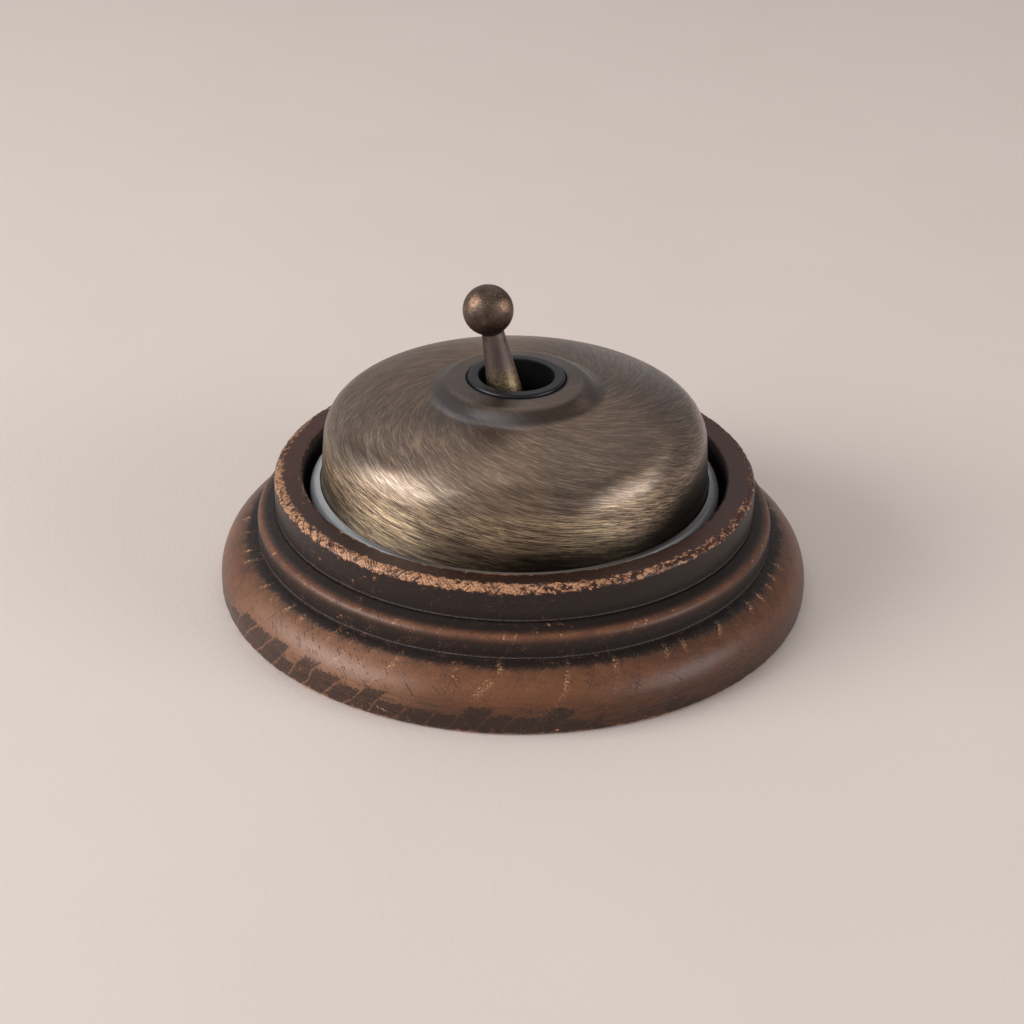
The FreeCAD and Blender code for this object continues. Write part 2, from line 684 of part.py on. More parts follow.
def collar_bush():
    """Black insulating bush: bore round the lever, thread for the dome, flange, shank."""
    node("collar_bush", turned("collar_bush", [
        ("bush_bore_radius", "bush_bottom"),
        ("bush_shank_radius", "bush_bottom"),
        ("bush_shank_radius", "bridge_top"),
        ("bush_flange_radius", "bridge_top"),
        ("bush_flange_radius", "bridge_top + bush_flange_height"),
        ("bush_thread_radius", "bridge_top + bush_flange_height"),
        ("bush_thread_radius", "bush_top - bush_outer_round", ("bush_outer_round", 1)),
        ("bush_thread_radius - bush_outer_round", "bush_top"),
        ("bush_bore_radius + bush_bore_round", "bush_top", ("bush_bore_round", 1)),
        ("bush_bore_radius", "bush_top - bush_bore_round"),
    ]))


def bush_ring_nut():
    """Slotted round nut that holds the bush under the bridge."""
    inside = "bush_shank_radius + fixed_clearance"
    blank = turned("ring_nut_blank", [
        (inside, "bridge_underside - ring_nut_height"),
        ("ring_nut_radius", "bridge_underside - ring_nut_height"),
        ("ring_nut_radius", "bridge_underside"),
        (inside, "bridge_underside"),
    ])
    slot = box("ring_nut_slot", ("-1 * ring_nut_radius - 1", "ring_nut_radius + 1"),
               ("-ring_nut_slot / 2", "ring_nut_slot / 2"),
               ("bridge_underside - ring_nut_height - 1", "bridge_underside - ring_nut_height / 2"))
    node("bush_ring_nut", cut("ring_nut", blank, [slot]))


def cover_ring():
    """Brass ring soldered under the boss, which screws down the bush with the dome."""
    node("cover_ring", turned("cover_ring", [
        ("cover_ring_bore", "cover_ring_bottom"),
        ("cover_ring_radius", "cover_ring_bottom"),
        ("cover_ring_radius", "cover_ring_top - 2 * cover_ring_chamfer"),
        ("cover_ring_radius - cover_ring_chamfer", "cover_ring_top"),
        ("cover_ring_bore", "cover_ring_top"),
    ]))


# ---------------------------------------------------------------- bridge and its fasteners
def bridge_frame():
    """Steel strap bent to a bridge: top plate, two cheeks, two feet and the earth tab."""
    pieces = [box("bridge_plate", ("-bridge_half_length", "bridge_half_length"),
                  ("-1 * cheek_outside", "cheek_outside"), ("bridge_underside", "bridge_top"))]
    for side in SIDES:
        cheek = sorted((f"{side} * cheek_gap", f"{side} * cheek_outside"), key=value)
        foot = sorted((f"{side} * cheek_gap", f"{side} * foot_end"), key=value)
        start = "-1 * earth_tab_end" if side == BACK else "-1 * cheek_half_width"
        pieces.append(box("cheek" + side, ("-1 * cheek_half_width", "cheek_half_width"),
                          tuple(cheek), ("porcelain_top", "bridge_top")))
        pieces.append(box("foot" + side, (start, "cheek_half_width"), tuple(foot),
                          ("porcelain_top", "foot_top")))
    strap = rounded("bridge_strap", fused("bridge_blank", pieces), "bridge_bend_round",
                    lambda edge: runs_along_x(edge, "cheek_outside", "bridge_top"))
    tools = [rod("bush_seat", "bush_shank_radius + fixed_clearance", ("bridge_underside - 1", "bridge_top + 1")),
             rod("pivot_holes", "lever_pin_radius + pin_clearance", ("-1 * foot_end", "foot_end"),
                 along="Y", b="lever_axis_height"),
             rod("earth_thread", "screw_radius + fixed_clearance", ("porcelain_top - 1", "foot_top + 1"),
                 a="-1 * earth_screw_along", b="frame_screw_across")]
    for side in SIDES:
        tools.append(rod("foot_hole" + side, "screw_radius + hole_clearance",
                         ("porcelain_top - 1", "foot_top + 1"), b=f"{side} * frame_screw_across"))
    node("bridge_frame", cut("bridge", strap, tools))


def runs_along_x(edge, across, up):
    """Whether a straight edge runs along X at that distance from the XZ plane and height."""
    ends = [vertex.Point for vertex in edge.Vertexes]
    return len(ends) == 2 and all(
        abs(abs(end.y) - value(across)) < 1e-4 and abs(end.z - value(up)) < 1e-4 for end in ends)


def rounded(name, base, radius, wanted):
    """Fillet the edges of a solid that pass a test."""
    doc.recompute()
    fillet = doc.addObject("Part::Fillet", name)
    fillet.Base = base
    size = value(radius)
    fillet.Edges = [(index, size, size)
                    for index, edge in enumerate(base.Shape.Edges, start=1) if wanted(edge)]
    return fillet


def frame_fasteners():
    """Two screws through the bridge's feet and the nuts trapped under the porcelain."""
    screw = slotted_screw("frame_screw", "foot_top", "floor_height + nut_recess",
                          "screw_radius", "screw_head_radius", "screw_head_height")
    node("frame_screws", group("frame_screws", [
        moved("frame_screw" + side, screw, y=f"{side} * frame_screw_across") for side in SIDES]))
    nuts = []
    for side in SIDES:
        across = f"{side} * frame_screw_across"
        span = ("floor_height + nut_recess", "floor_height + nut_recess + frame_nut_height")
        blank = hexagon("nut_blank" + side, "frame_nut_width / 2", span, across)
        thread = rod("nut_thread" + side, "screw_radius + fixed_clearance",
                     (f"{span[0]} - 1", f"{span[1]} + 1"), b=across)
        nuts.append(cut("frame_nut" + side, blank, [thread]))
    node("frame_nuts", group("frame_nuts", nuts))


def earth_terminal():
    """Screw and square clamp plate on the bridge's earth tab."""
    along = "-1 * earth_screw_along"
    plate = box("clamp_plate", (f"{along} - clamp_width / 2", f"{along} + clamp_width / 2"),
                ("frame_screw_across - clamp_width / 2", "frame_screw_across + clamp_width / 2"),
                ("foot_top + clamp_gap", "foot_top + clamp_gap + sheet_thickness"))
    hole = rod("clamp_hole", "screw_radius + hole_clearance", ("foot_top - 1", "foot_top + 3"),
               a=along, b="frame_screw_across")
    node("earth_clamp", cut("earth_clamp", plate, [hole]))
    screw = slotted_screw("earth_screw_blank", "foot_top + 2 * clamp_gap + sheet_thickness",
                          "porcelain_top - earth_screw_reach", "screw_radius", "screw_head_radius",
                          "screw_head_height")
    node("earth_screw", moved("earth_screw", screw, x=along, y="frame_screw_across"))


def base_fasteners():
    """Two wood screws on fibre washers, which hold the porcelain in the pattress."""
    screw = slotted_screw("base_screw", "base_screw_head_foot",
                          "base_screw_tip", "base_screw_radius",
                          "base_screw_head_radius", "base_screw_head_height")
    washer = turned("washer", [
        ("base_screw_radius + fixed_clearance", "base_screw_seat_height"),
        ("base_screw_radius + washer_width", "base_screw_seat_height"),
        ("base_screw_radius + washer_width", "base_screw_head_foot"),
        ("base_screw_radius + fixed_clearance", "base_screw_head_foot"),
    ])
    for label, source in (("base_screws", screw), ("base_washers", washer)):
        node(label, group(label, [
            moved(label + side, source, y=f"{side} * base_screw_offset") for side in SIDES]))


# ---------------------------------------------------------------- lever
def lever():
    """Ball, tapered stem and hollow tail in one piece, with a barrel for its pins.

    It is built upright about its pivot and then tilted to its left stop.
    """
    neck = "ball_distance - sqrt(ball_radius^2 - stem_top_radius^2)"
    body = turned("lever_body", [
        ("0", "lever_bore_top + lever_bore_radius / 2"),
        ("lever_bore_radius", "lever_bore_top"),
        ("lever_bore_radius", "-1 * tail_length"),
        ("tail_radius", "-1 * tail_length"),
        ("tail_radius", "0"),
        ("stem_root_radius", "stem_root_height"),
        ("stem_top_radius", neck, ("ball_radius", 1)),
        ("0", "ball_distance + ball_radius"),
    ])
    barrel = body.newObject("PartDesign::Pad", "barrel_pad")
    barrel.Profile = circle_sketch(body, "XZ_Plane", "barrel_circle", [("0", "0", "barrel_radius")])
    barrel.SideType = "Symmetric"
    barrel.setExpression("Length", bound("2 * barrel_half_width"))
    drill(body, "XZ_Plane", "pin_bore", [("0", "0", "lever_pin_radius + fixed_clearance")])
    bore = rod("lever_bore", "lever_bore_radius", ("-1 * tail_length - 1", "lever_bore_top"))
    node("lever", tilt(cut("lever", body, [bore]), "lever_axis_height", "-1 * lever_tilt"))

    pins = []
    for side in SIDES:
        span = sorted((f"{side} * lever_pin_inset", f"{side} * (cheek_outside + lever_pin_proud)"),
                      key=value)
        pins.append(rod("lever_pin" + side, "lever_pin_radius", tuple(span), along="Y"))
    node("lever_pins", tilt(group("lever_pins", pins), "lever_axis_height", "-1 * lever_tilt"))


def plunger():
    """Round-nosed plunger in the lever's tail, and the spring that pushes it out."""
    body = turned("plunger", [
        ("0", "-1 * plunger_reach - plunger_radius", ("plunger_radius", 1)),
        ("plunger_radius", "-1 * plunger_reach"),
        ("plunger_radius", "plunger_top"),
        ("0", "plunger_top"),
    ])
    node("plunger", tilt(body, "lever_axis_height", "-1 * lever_tilt"))

    coil = doc.addObject("Part::Helix", "spring_path")
    drive(coil, Radius="spring_radius", Height="spring_top - spring_bottom",
          Pitch="(spring_top - spring_bottom) / spring_turns", z="spring_bottom")
    wire = doc.addObject("Part::Circle", "spring_section")
    wire.Placement = Placement(Vector(), Rotation(Vector(1, 0, 0), 90))
    drive(wire, Radius="spring_wire_radius", x="spring_radius", z="spring_bottom")
    spring = doc.addObject("Part::Sweep", "plunger_spring")
    spring.Sections = [wire]
    spring.Spine = (coil, ["Edge1"])
    spring.Solid = True
    spring.Frenet = True
    node("plunger_spring", tilt(spring, "lever_axis_height", "-1 * lever_tilt"))


# ---------------------------------------------------------------- seesaw contact
def rocker_saddle():
    """Moulded saddle whose valley follows the plunger's tip through the whole swing."""
    body = doc.addObject("PartDesign::Body", "saddle_body")
    edge = "sqrt(valley_radius^2 - (valley_axis - saddle_top)^2)"
    add_pad(body, "XZ_Plane", "saddle", [
        ("-1 * saddle_half_length", "-1 * saddle_bottom"),
        ("saddle_half_length", "-1 * saddle_bottom"),
        ("saddle_half_length", "saddle_top"),
        (edge, "saddle_top", ("valley_radius", -1)),
        (f"-1 * {edge}", "saddle_top"),
        ("-1 * saddle_half_length", "saddle_top"),
    ], "2 * saddle_half_width", symmetric=True)
    drill(body, "XZ_Plane", "saddle_pin_bore", [("0", "0", "rocker_pin_radius + pin_clearance")])
    drill(body, "XY_Plane", "saddle_rivet_bores", [
        (f"{side} * saddle_rivet_offset", "0", "saddle_rivet_radius + fixed_clearance")
        for side in SIDES])
    node("rocker_saddle", tilt(body, "rocker_axis_height", "rocker_tilt"))


def contact_blade():
    """Bronze blade under the saddle, with two ears that turn on the seesaw's pin."""
    pieces = [box("blade_strip", ("-1 * blade_half_length", "blade_half_length"),
                  ("-1 * blade_half_width", "blade_half_width"),
                  ("-1 * blade_bottom", "-1 * blade_top"))]
    for side in SIDES:
        span = tuple(sorted((f"{side} * blade_half_width",
                             f"{side} * (blade_half_width - ear_thickness)"), key=value))
        pieces.append(box("blade_ear" + side, ("-1 * ear_radius", "ear_radius"), span,
                          ("-1 * blade_bottom", "0")))
        pieces.append(rod("blade_eye" + side, "ear_radius", span, along="Y"))
    tools = [rod("blade_pin_bore", "rocker_pin_radius + pin_clearance",
                 ("-1 * blade_half_width - 1", "blade_half_width + 1"), along="Y")]
    for side in SIDES:
        tools.append(rod("blade_rivet_bore" + side, "saddle_rivet_radius + fixed_clearance",
                         ("-1 * blade_bottom - 1", "0"), a=f"{side} * saddle_rivet_offset"))
    blade = cut("blade", fused("blade_blank", pieces), tools)
    node("contact_blade", tilt(blade, "rocker_axis_height", "rocker_tilt"))

    tips = [rod("contact_tip" + side, "moving_contact_radius",
                ("-1 * moving_contact_face", "-1 * blade_bottom"),
                a=f"{side} * moving_contact_offset") for side in SIDES]
    node("moving_contacts", tilt(group("moving_contacts", tips), "rocker_axis_height", "rocker_tilt"))

    rivets = []
    for side in SIDES:
        rivet = turned("saddle_rivet" + side, rivet_outline(
            "saddle_rivet_radius", "saddle_rivet_head", "saddle_rivet_head_height",
            "-1 * blade_bottom", "saddle_top"))
        rivets.append(moved("saddle_rivet_place" + side, rivet, x=f"{side} * saddle_rivet_offset"))
    node("saddle_rivets", tilt(group("saddle_rivets", rivets), "rocker_axis_height", "rocker_tilt"))


def rivet_outline(shank, head, height, low, high):
    """Outline of a rivet with a flat head below low and another above high."""
    return [("0", f"{low} - {height}"), (head, f"{low} - {height}"), (head, low), (shank, low),
            (shank, high), (head, high), (head, f"{high} + {height}"), ("0", f"{high} + {height}")]


def rocker_pin():
    """Pin of the seesaw, held in the cradle's ears."""
    body = rod("rocker_pin", "rocker_pin_radius", ("-1 * cradle_outside", "cradle_outside"),
               along="Y", b="rocker_axis_height")
    node("rocker_pin", body)


# ---------------------------------------------------------------- fixed contacts
def foot_pad(name, along, across, inner_edge):
    """The part of a contact strip under a terminal block, from its inner edge outwards."""
    x = sorted((f"{along} * strip_foot_start", f"{along} * block_far"), key=value)
    y = sorted((f"{across} * ({inner_edge})", f"{across} * block_outside"), key=value)
    return box(name, tuple(x), tuple(y), ("well_bottom", "strip_top"))


def strip_holes(name, along, across, rivet):
    """The holes of a strip: for its rivet and for the screw of its block."""
    span = ("well_bottom - 1", "strip_top + 1")
    return [rod(name + "_rivet_bore", "contact_rivet_radius + fixed_clearance", span,
                a=f"{rivet} * contact_rivet_offset"),
            rod(name + "_screw_bore", "screw_radius + hole_clearance", span,
                a=f"{along} * terminal_along", b=f"{across} * terminal_across")]


def fixed_contacts():
    """Left and right strips, from the stud under the blade to the terminal block."""
    studs = []
    for label, side in (("fixed_contact_left", LEFT), ("fixed_contact_right", RIGHT)):
        x = sorted((f"{side} * strip_inner_end", f"{side} * strip_bar_end"), key=value)
        bar = box(label + "_bar", tuple(x), ("-1 * strip_half_width", "strip_half_width"),
                  ("well_bottom", "strip_top"))
        foot = foot_pad(label + "_foot", side, FRONT, "rib_half_width + strip_edge_gap")
        blank = fused(label + "_blank", [bar, foot])
        node(label, cut(label, blank, strip_holes(label, side, FRONT, side)))
        stud = turned("stud" + side, [
            ("0", "strip_top"),
            ("stud_radius", "strip_top"),
            ("stud_radius", "stud_top - stud_dome_height",
             ("(stud_radius^2 + stud_dome_height^2) / (2 * stud_dome_height)", 1)),
            ("0", "stud_top"),
        ])
        studs.append(moved("stud_place" + side, stud, x=f"{side} * stud_along"))
    node("contact_studs", group("contact_studs", studs))


def common_cradle():
    """Brass cradle with two ears for the seesaw's pin and an arm to the common terminal."""
    pieces = [box("cradle_base", ("-1 * cradle_half_length", "cradle_half_length"),
                  ("-1 * cradle_outside", "cradle_outside"), ("well_bottom", "strip_top")),
              box("cradle_arm", ("0", "strip_bar_end"),
                  ("cradle_inside", "cradle_inside + cradle_arm_width"), ("well_bottom", "strip_top")),
              foot_pad("cradle_foot", RIGHT, BACK, "block_inside")]
    for side in SIDES:
        span = tuple(sorted((f"{side} * cradle_inside", f"{side} * cradle_outside"), key=value))
        pieces.append(box("cradle_ear" + side, ("-1 * cradle_ear_radius", "cradle_ear_radius"),
                          span, ("well_bottom", "rocker_axis_height")))
        pieces.append(rod("cradle_eye" + side, "cradle_ear_radius", span, along="Y",
                          b="rocker_axis_height"))
    tools = strip_holes("cradle", RIGHT, BACK, "0")
    tools.append(rod("cradle_pin_bore", "rocker_pin_radius + fixed_clearance",
                     ("-1 * cradle_outside - 1", "cradle_outside + 1"), along="Y",
                     b="rocker_axis_height"))
    node("common_cradle", cut("cradle", fused("cradle_blank", pieces), tools))


def contact_rivets():
    """Rivets that hold the strips and the cradle to the porcelain."""
    rivets = []
    for place in rivet_places():
        rivet = turned("contact_rivet" + place, rivet_outline(
            "contact_rivet_radius", "contact_rivet_head", "contact_rivet_head_height",
            "floor_height + rivet_recess_height", "strip_top"))
        rivets.append(moved("contact_rivet_place" + place, rivet, x=f"{place} * contact_rivet_offset"))
    node("contact_rivets", group("contact_rivets", rivets))


# ---------------------------------------------------------------- terminals
def terminals():
    """Three brass blocks with a cross bore for the wire, and their screws."""
    clamp = slotted_screw("clamp_screw", "block_top + clamp_screw_lift", "wire_bore_axis + wire_bore_radius",
                          "screw_radius", "screw_head_radius", "screw_head_height")
    holder = turned("block_screw", [
        ("0", "block_screw_head_foot"),
        ("screw_head_radius", "block_screw_head_foot"),
        ("screw_head_radius", "floor_height + block_screw_recess"),
        ("screw_radius", "floor_height + block_screw_recess"),
        ("screw_radius", "strip_top + block_screw_grip"),
        ("0", "strip_top + block_screw_grip"),
    ])
    clamps = []
    holders = []
    for label, (along, across) in zip(("terminal_left", "terminal_right", "terminal_common"),
                                      terminal_places()):
        block = box(label + "_block", (f"{along} - terminal_side / 2", f"{along} + terminal_side / 2"),
                    (f"{across} - terminal_side / 2", f"{across} + terminal_side / 2"),
                    ("strip_top", "block_top"))
        eased = chamfered(label + "_eased", block, "terminal_chamfer")
        tools = [rod(label + "_wire", "wire_bore_radius",
                     (f"{along} - terminal_side", f"{along} + terminal_side"),
                     along="X", a=across, b="wire_bore_axis"),
                 rod(label + "_thread", "screw_radius + fixed_clearance",
                     ("wire_bore_axis", "block_top + 1"), a=along, b=across),
                 rod(label + "_foot_thread", "screw_radius + fixed_clearance",
                     ("strip_top - 1", "strip_top + block_screw_grip + fixed_clearance"),
                     a=along, b=across)]
        node(label, cut(label, eased, tools))
        clamps.append(moved(label + "_clamp", clamp, x=along, y=across))
        holders.append(moved(label + "_holder", holder, x=along, y=across))
    node("terminal_screws", group("terminal_screws", clamps))
    node("block_screws", group("block_screws", holders))


def chamfered(name, base, size):
    """Chamfer the upper and upright edges of a block."""
    doc.recompute()
    foot = base.Shape.BoundBox.ZMin
    chamfer = doc.addObject("Part::Chamfer", name)
    chamfer.Base = base
    width = value(size)
    chamfer.Edges = [(index, width, width) for index, edge in enumerate(base.Shape.Edges, start=1)
                     if edge.CenterOfMass.z > foot + width]
    return chamfer


# ---------------------------------------------------------------- build, test and export
def build():
    """Make every sub-part in the order of assembly."""
    fill_sheet()
    for make in (wood_pattress, porcelain_base, common_cradle, fixed_contacts, contact_rivets,
                 terminals, rocker_saddle, contact_blade, rocker_pin, bridge_frame,
                 frame_fasteners, earth_terminal, lever, plunger, collar_bush, bush_ring_nut,
                 cover_ring, dome_cover, base_fasteners):
        make()
    doc.recompute()


def check():
    """Stop if an object failed or a sub-part has no valid shape."""
    for thing in doc.Objects:
        if "Invalid" in thing.State or "Error" in thing.State:
            raise RuntimeError(f"{thing.Name} ({thing.Label}) failed: {thing.State}")
    for thing in nodes:
        if thing.Shape.isNull() or not thing.Shape.isValid() or not thing.Shape.Solids:
            raise RuntimeError(f"{thing.Label} has no valid solid")


def export():
    """Write each sub-part to parts/NODE.step."""
    os.makedirs("parts", exist_ok=True)
    for thing in nodes:
        thing.Shape.exportStep(os.path.join("parts", thing.Label + ".step"))
        print(f"{thing.Label}: {len(thing.Shape.Solids)} solid(s), {thing.Shape.Volume:.1f} mm3")


build()
check()
export()
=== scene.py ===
"""Looks of the surface toggle switch: worn stained wood, brushed dome, bronze lever.

The turned pieces (pattress, dome, bush and lever) are fine lathe meshes and the plunger's
spring is a coiled wire. They stand for their CAD nodes; every other node keeps its CAD
shape and gets its material here.
Sizes are millimetres, turned into metres only where a mesh or an object is made.
"""
import json
import math

import bmesh
import bpy
import numpy as np
from mathutils import Matrix, Vector, noise


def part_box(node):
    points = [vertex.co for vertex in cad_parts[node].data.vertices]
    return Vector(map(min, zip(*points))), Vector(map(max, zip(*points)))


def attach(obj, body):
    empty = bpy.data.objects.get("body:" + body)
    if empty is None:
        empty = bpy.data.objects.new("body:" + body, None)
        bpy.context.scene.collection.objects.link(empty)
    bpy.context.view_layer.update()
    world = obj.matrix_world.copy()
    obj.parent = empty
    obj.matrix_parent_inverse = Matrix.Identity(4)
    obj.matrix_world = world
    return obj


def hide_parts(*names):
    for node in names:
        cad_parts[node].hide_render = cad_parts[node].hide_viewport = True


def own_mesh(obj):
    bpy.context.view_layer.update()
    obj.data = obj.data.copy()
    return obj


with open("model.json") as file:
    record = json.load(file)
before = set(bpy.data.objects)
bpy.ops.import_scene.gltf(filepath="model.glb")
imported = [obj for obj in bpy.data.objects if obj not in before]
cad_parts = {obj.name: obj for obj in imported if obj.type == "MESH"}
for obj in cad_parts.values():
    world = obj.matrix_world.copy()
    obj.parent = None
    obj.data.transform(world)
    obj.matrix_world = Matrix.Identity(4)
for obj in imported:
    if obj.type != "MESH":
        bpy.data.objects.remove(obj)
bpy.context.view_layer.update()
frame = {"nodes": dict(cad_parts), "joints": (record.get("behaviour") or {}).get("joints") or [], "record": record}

MM = 0.001
FULL_TURN = 2 * math.pi
JOINTS = {joint["name"]: joint for joint in frame["joints"]}


def millimetres(node):
    """The lowest and highest corner of a CAD node, in millimetres."""
    low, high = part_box(node)
    return low / MM, high / MM


# ---------------------------------------------------------------- sizes from the frame
WOOD_HIGH = millimetres("wood_pattress")[1]
CHINA_LOW, CHINA_HIGH = millimetres("porcelain_base")
DOME_LOW, DOME_HIGH = millimetres("dome_cover")
BUSH_LOW, BUSH_HIGH = millimetres("collar_bush")
BRIDGE_HIGH = millimetres("bridge_frame")[1]
WASHER_LOW, WASHER_HIGH = millimetres("base_washers")

# wooden pattress
BASE_RADIUS = WOOD_HIGH.x
RING_TOP = WOOD_HIGH.z
FLOOR_HEIGHT = CHINA_LOW.z
RECESS_GAP = 1.1
RING_WIDTH = 4.8
STEP_WIDTH = 3.05
RECESS_RADIUS = CHINA_HIGH.x + RECESS_GAP
RING_RADIUS = RECESS_RADIUS + RING_WIDTH
STEP_RADIUS = RING_RADIUS + STEP_WIDTH
OPENING_RADIUS = 26.0
SHOULDER_RADIUS = 7.2
FOOT_HEIGHT = 2.3
FOOT_ROUND = 0.8
RING_EDGE_ROUND = 1.2
RING_BORE_ROUND = 0.6
STEP_HEIGHT = 2.9
STEP_ROUND = 1.3
STEP_SLOPE = math.radians(20)
GROOVE_DEPTH = 0.35
GROOVE_WIDTH = 0.25
SHOULDER_TOP = FOOT_HEIGHT + math.sqrt(
    SHOULDER_RADIUS ** 2 - (SHOULDER_RADIUS - BASE_RADIUS + STEP_RADIUS) ** 2)
STEP_ARC_START = SHOULDER_TOP + STEP_HEIGHT
WALL_HOLE_OFFSET = 30.0
WALL_HOLE_RADIUS = 2.1
WALL_SINK_RADIUS = 3.8
WASHER_RADIUS = 3.1
PILOT_OFFSET = (WASHER_HIGH.y - WASHER_LOW.y) / 2 - WASHER_RADIUS
PILOT_RADIUS = 1.62
PILOT_FLOOR = 1.0
CHIP_DEPTH = 0.38
RIPPLE_DEPTH = 0.03
CHATTER_CELLS = 74

# dome, and the porcelain rim round its foot
RIM_HEIGHT = 1.7
RIM_TOP = DOME_LOW.z + RIM_HEIGHT
DOME_RADIUS = DOME_HIGH.x
DOME_FOOT = DOME_LOW.z
DOME_WALL = 0.8
DOME_LEAN = math.radians(4.5)
DOME_SIDE_HEIGHT = 9.6976
HAUNCH_RADIUS = 6.0
HAUNCH_END = math.radians(69)
CROWN_RADIUS = 39.0
BOSS_RADIUS = 14.3
BOSS_FLANK_RUN = 1.9
BOSS_FLANK_RISE = 1.45
BOSS_CREST_RUN = 1.8
BOSS_CREST_RISE = 0.65
BOSS_CREST_RADIUS = 2.9
DOME_HOLE_RADIUS = 8.27
DOME_HOLE_HEIGHT = DOME_HIGH.z
BOSS_FOOT_FILLET = 3.2
DOME_FOOT_ROUND = 0.2
DOME_LIP_ROUND = 0.15
DOME_LIP_DROP = 0.02

# bush
BUSH_BORE_RADIUS = 6.24
BUSH_THREAD_RADIUS = 8.1
BUSH_SHANK_RADIUS = 7.4
BUSH_FLANGE_RADIUS = BUSH_HIGH.x
BUSH_FLANGE_HEIGHT = 1.2
BUSH_OUTER_ROUND = 0.55
BUSH_BORE_ROUND = 0.4
THREAD_PITCH = 0.75
THREAD_DEPTH = 0.25
THREAD_BELOW_LIP = 1.6
THREAD_ABOVE_FLANGE = 0.4

# lever, from its pivot upwards along its own axis
PIVOT = Vector(JOINTS["lever_swing"]["pos_m"]) / MM
LEVER_TILT = math.asin(-JOINTS["plunger_slide"]["axis"][0])
LEVER_PLACE = Matrix.Translation(PIVOT * MM) @ Matrix.Rotation(-LEVER_TILT, 4, "Y")
BALL_RADIUS = 4.17
BALL_DISTANCE = 24.1
STEM_TOP_RADIUS = 1.875
STEM_ROOT_RADIUS = 3.5
STEM_ROOT_HEIGHT = 3.0
NECK_FILLET = 0.35
NECK_RUN = 0.18
NECK_RISE = 0.09
END_ROUND = 0.2
CAST_DEPTH = 0.02
RUBBED_HEIGHT = 11.0
RUBBED_REACH = 2.4
SPOT_FOCUS = 14
TAIL_RADIUS = 2.6
TAIL_LENGTH = 5.2
BORE_RADIUS = 1.6
BORE_TOP = 5.0
BARREL_RADIUS = 2.2
BARREL_END = 8.8
BARREL_INSIDE = 1.75
PIN_BORE_RADIUS = 1.02
SPRING_RADIUS = 1.25
SPRING_WIRE_RADIUS = 0.2
SPRING_TURNS = 7
SPRING_STEPS = 48
SPRING_SIDES = 12

# camera: millimetres and degrees
CAMERA_LENS = 70.3125
CAMERA_BACK = 299.553
CAMERA_HEIGHT = 175.928
CAMERA_HEADING = 0.0668
CAMERA_PITCH = 61.2156
CAMERA_ROLL = 1.0299

# surround: strength of its light
SURROUND = 0.68

# fineness of the turned meshes
FINE = 0.3
COARSE = 2.5
WOOD_AROUND = 720
DOME_AROUND = 480
BUSH_AROUND = 192
LEVER_AROUND = 128
BARREL_AROUND = 64
HOLE_AROUND = 48


# ---------------------------------------------------------------- turned meshes
def arc_points(start, finish, radius, turn, step):
    """Points of the shorter arc after its start; turn is 1 for anticlockwise."""
    start, finish = Vector(start), Vector(finish)
    chord = finish - start
    rise = math.sqrt(max(radius ** 2 - (chord.length / 2) ** 2, 0))
    normal = Vector((-chord.y, chord.x)).normalized()
    centre = (start + finish) / 2 + normal * rise * turn
    first = math.atan2(start.y - centre.y, start.x - centre.x)
    span = 2 * math.asin(min(chord.length / 2 / radius, 1)) * turn
    count = max(4, math.ceil(abs(span) * radius / step))
    return [(centre.x + radius * math.cos(first + span * part / count),
             centre.y + radius * math.sin(first + span * part / count))
            for part in range(1, count + 1)]


def line_points(start, finish, step):
    """Points of a straight run after its start, with one very near each end."""
    start, finish = Vector(start), Vector(finish)
    length = (finish - start).length
    near = min(0.04 / length, 0.25) if length else 0
    count = max(1, math.ceil(length / step))
    shares = [near] + [part / count for part in range(1, count)] + [1 - near, 1]
    return [tuple(start.lerp(finish, share)) for share in shares]


def outline(corners, closed=True):
    """Dense (radius, height) points of an outline.

    A corner is (radius, height, step) or, before an arc, (radius, height, step, arc radius, turn).
    """
    points = [tuple(corners[0][:2])]
    ends = corners[1:] + (corners[:1] if closed else [])
    for corner, following in zip(corners, ends):
        step = corner[2]
        if len(corner) == 5:
            points += arc_points(corner[:2], following[:2], corner[3], corner[4], step)
        else:
            points += line_points(corner[:2], following[:2], step)
    return points[:-1] if closed else points


def lathe(name, points, around, closed=True, press=None):
    """A mesh turned about Z. press(radius, height, angle) gives how far a point is worn in."""
    if closed:
        lengths = np.hypot(*np.diff(np.array(points + points[:1]), axis=0).T)
        along = np.concatenate(([0], np.cumsum(lengths)[:-1]))
    else:
        along = np.concatenate(([0], np.cumsum(np.hypot(*np.diff(np.array(points), axis=0).T))))
    count = len(points)
    angles = [FULL_TURN * turn / around for turn in range(around)]
    normals = outward(points, closed)
    vertices = []
    for angle in angles:
        across, up = math.cos(angle), math.sin(angle)
        for (radius, height), normal in zip(points, normals):
            depth = press(radius, height, angle) if press else 0
            far = max(radius - normal[0] * depth, 0)
            vertices.append((far * across * MM, far * up * MM, (height - normal[1] * depth) * MM))
    faces = []
    last = count if closed else count - 1
    for turn in range(around):
        here, there = turn * count, (turn + 1) % around * count
        for point in range(last):
            after = (point + 1) % count
            faces.append((here + point, there + point, there + after, here + after))
    mesh = bpy.data.meshes.new(name)
    mesh.from_pydata(vertices, [], faces)
    mesh.shade_smooth()
    store(mesh, "along", np.tile(along, around))
    thing = bpy.data.objects.new(name, mesh)
    bpy.context.scene.collection.objects.link(thing)
    weld(mesh)
    return thing


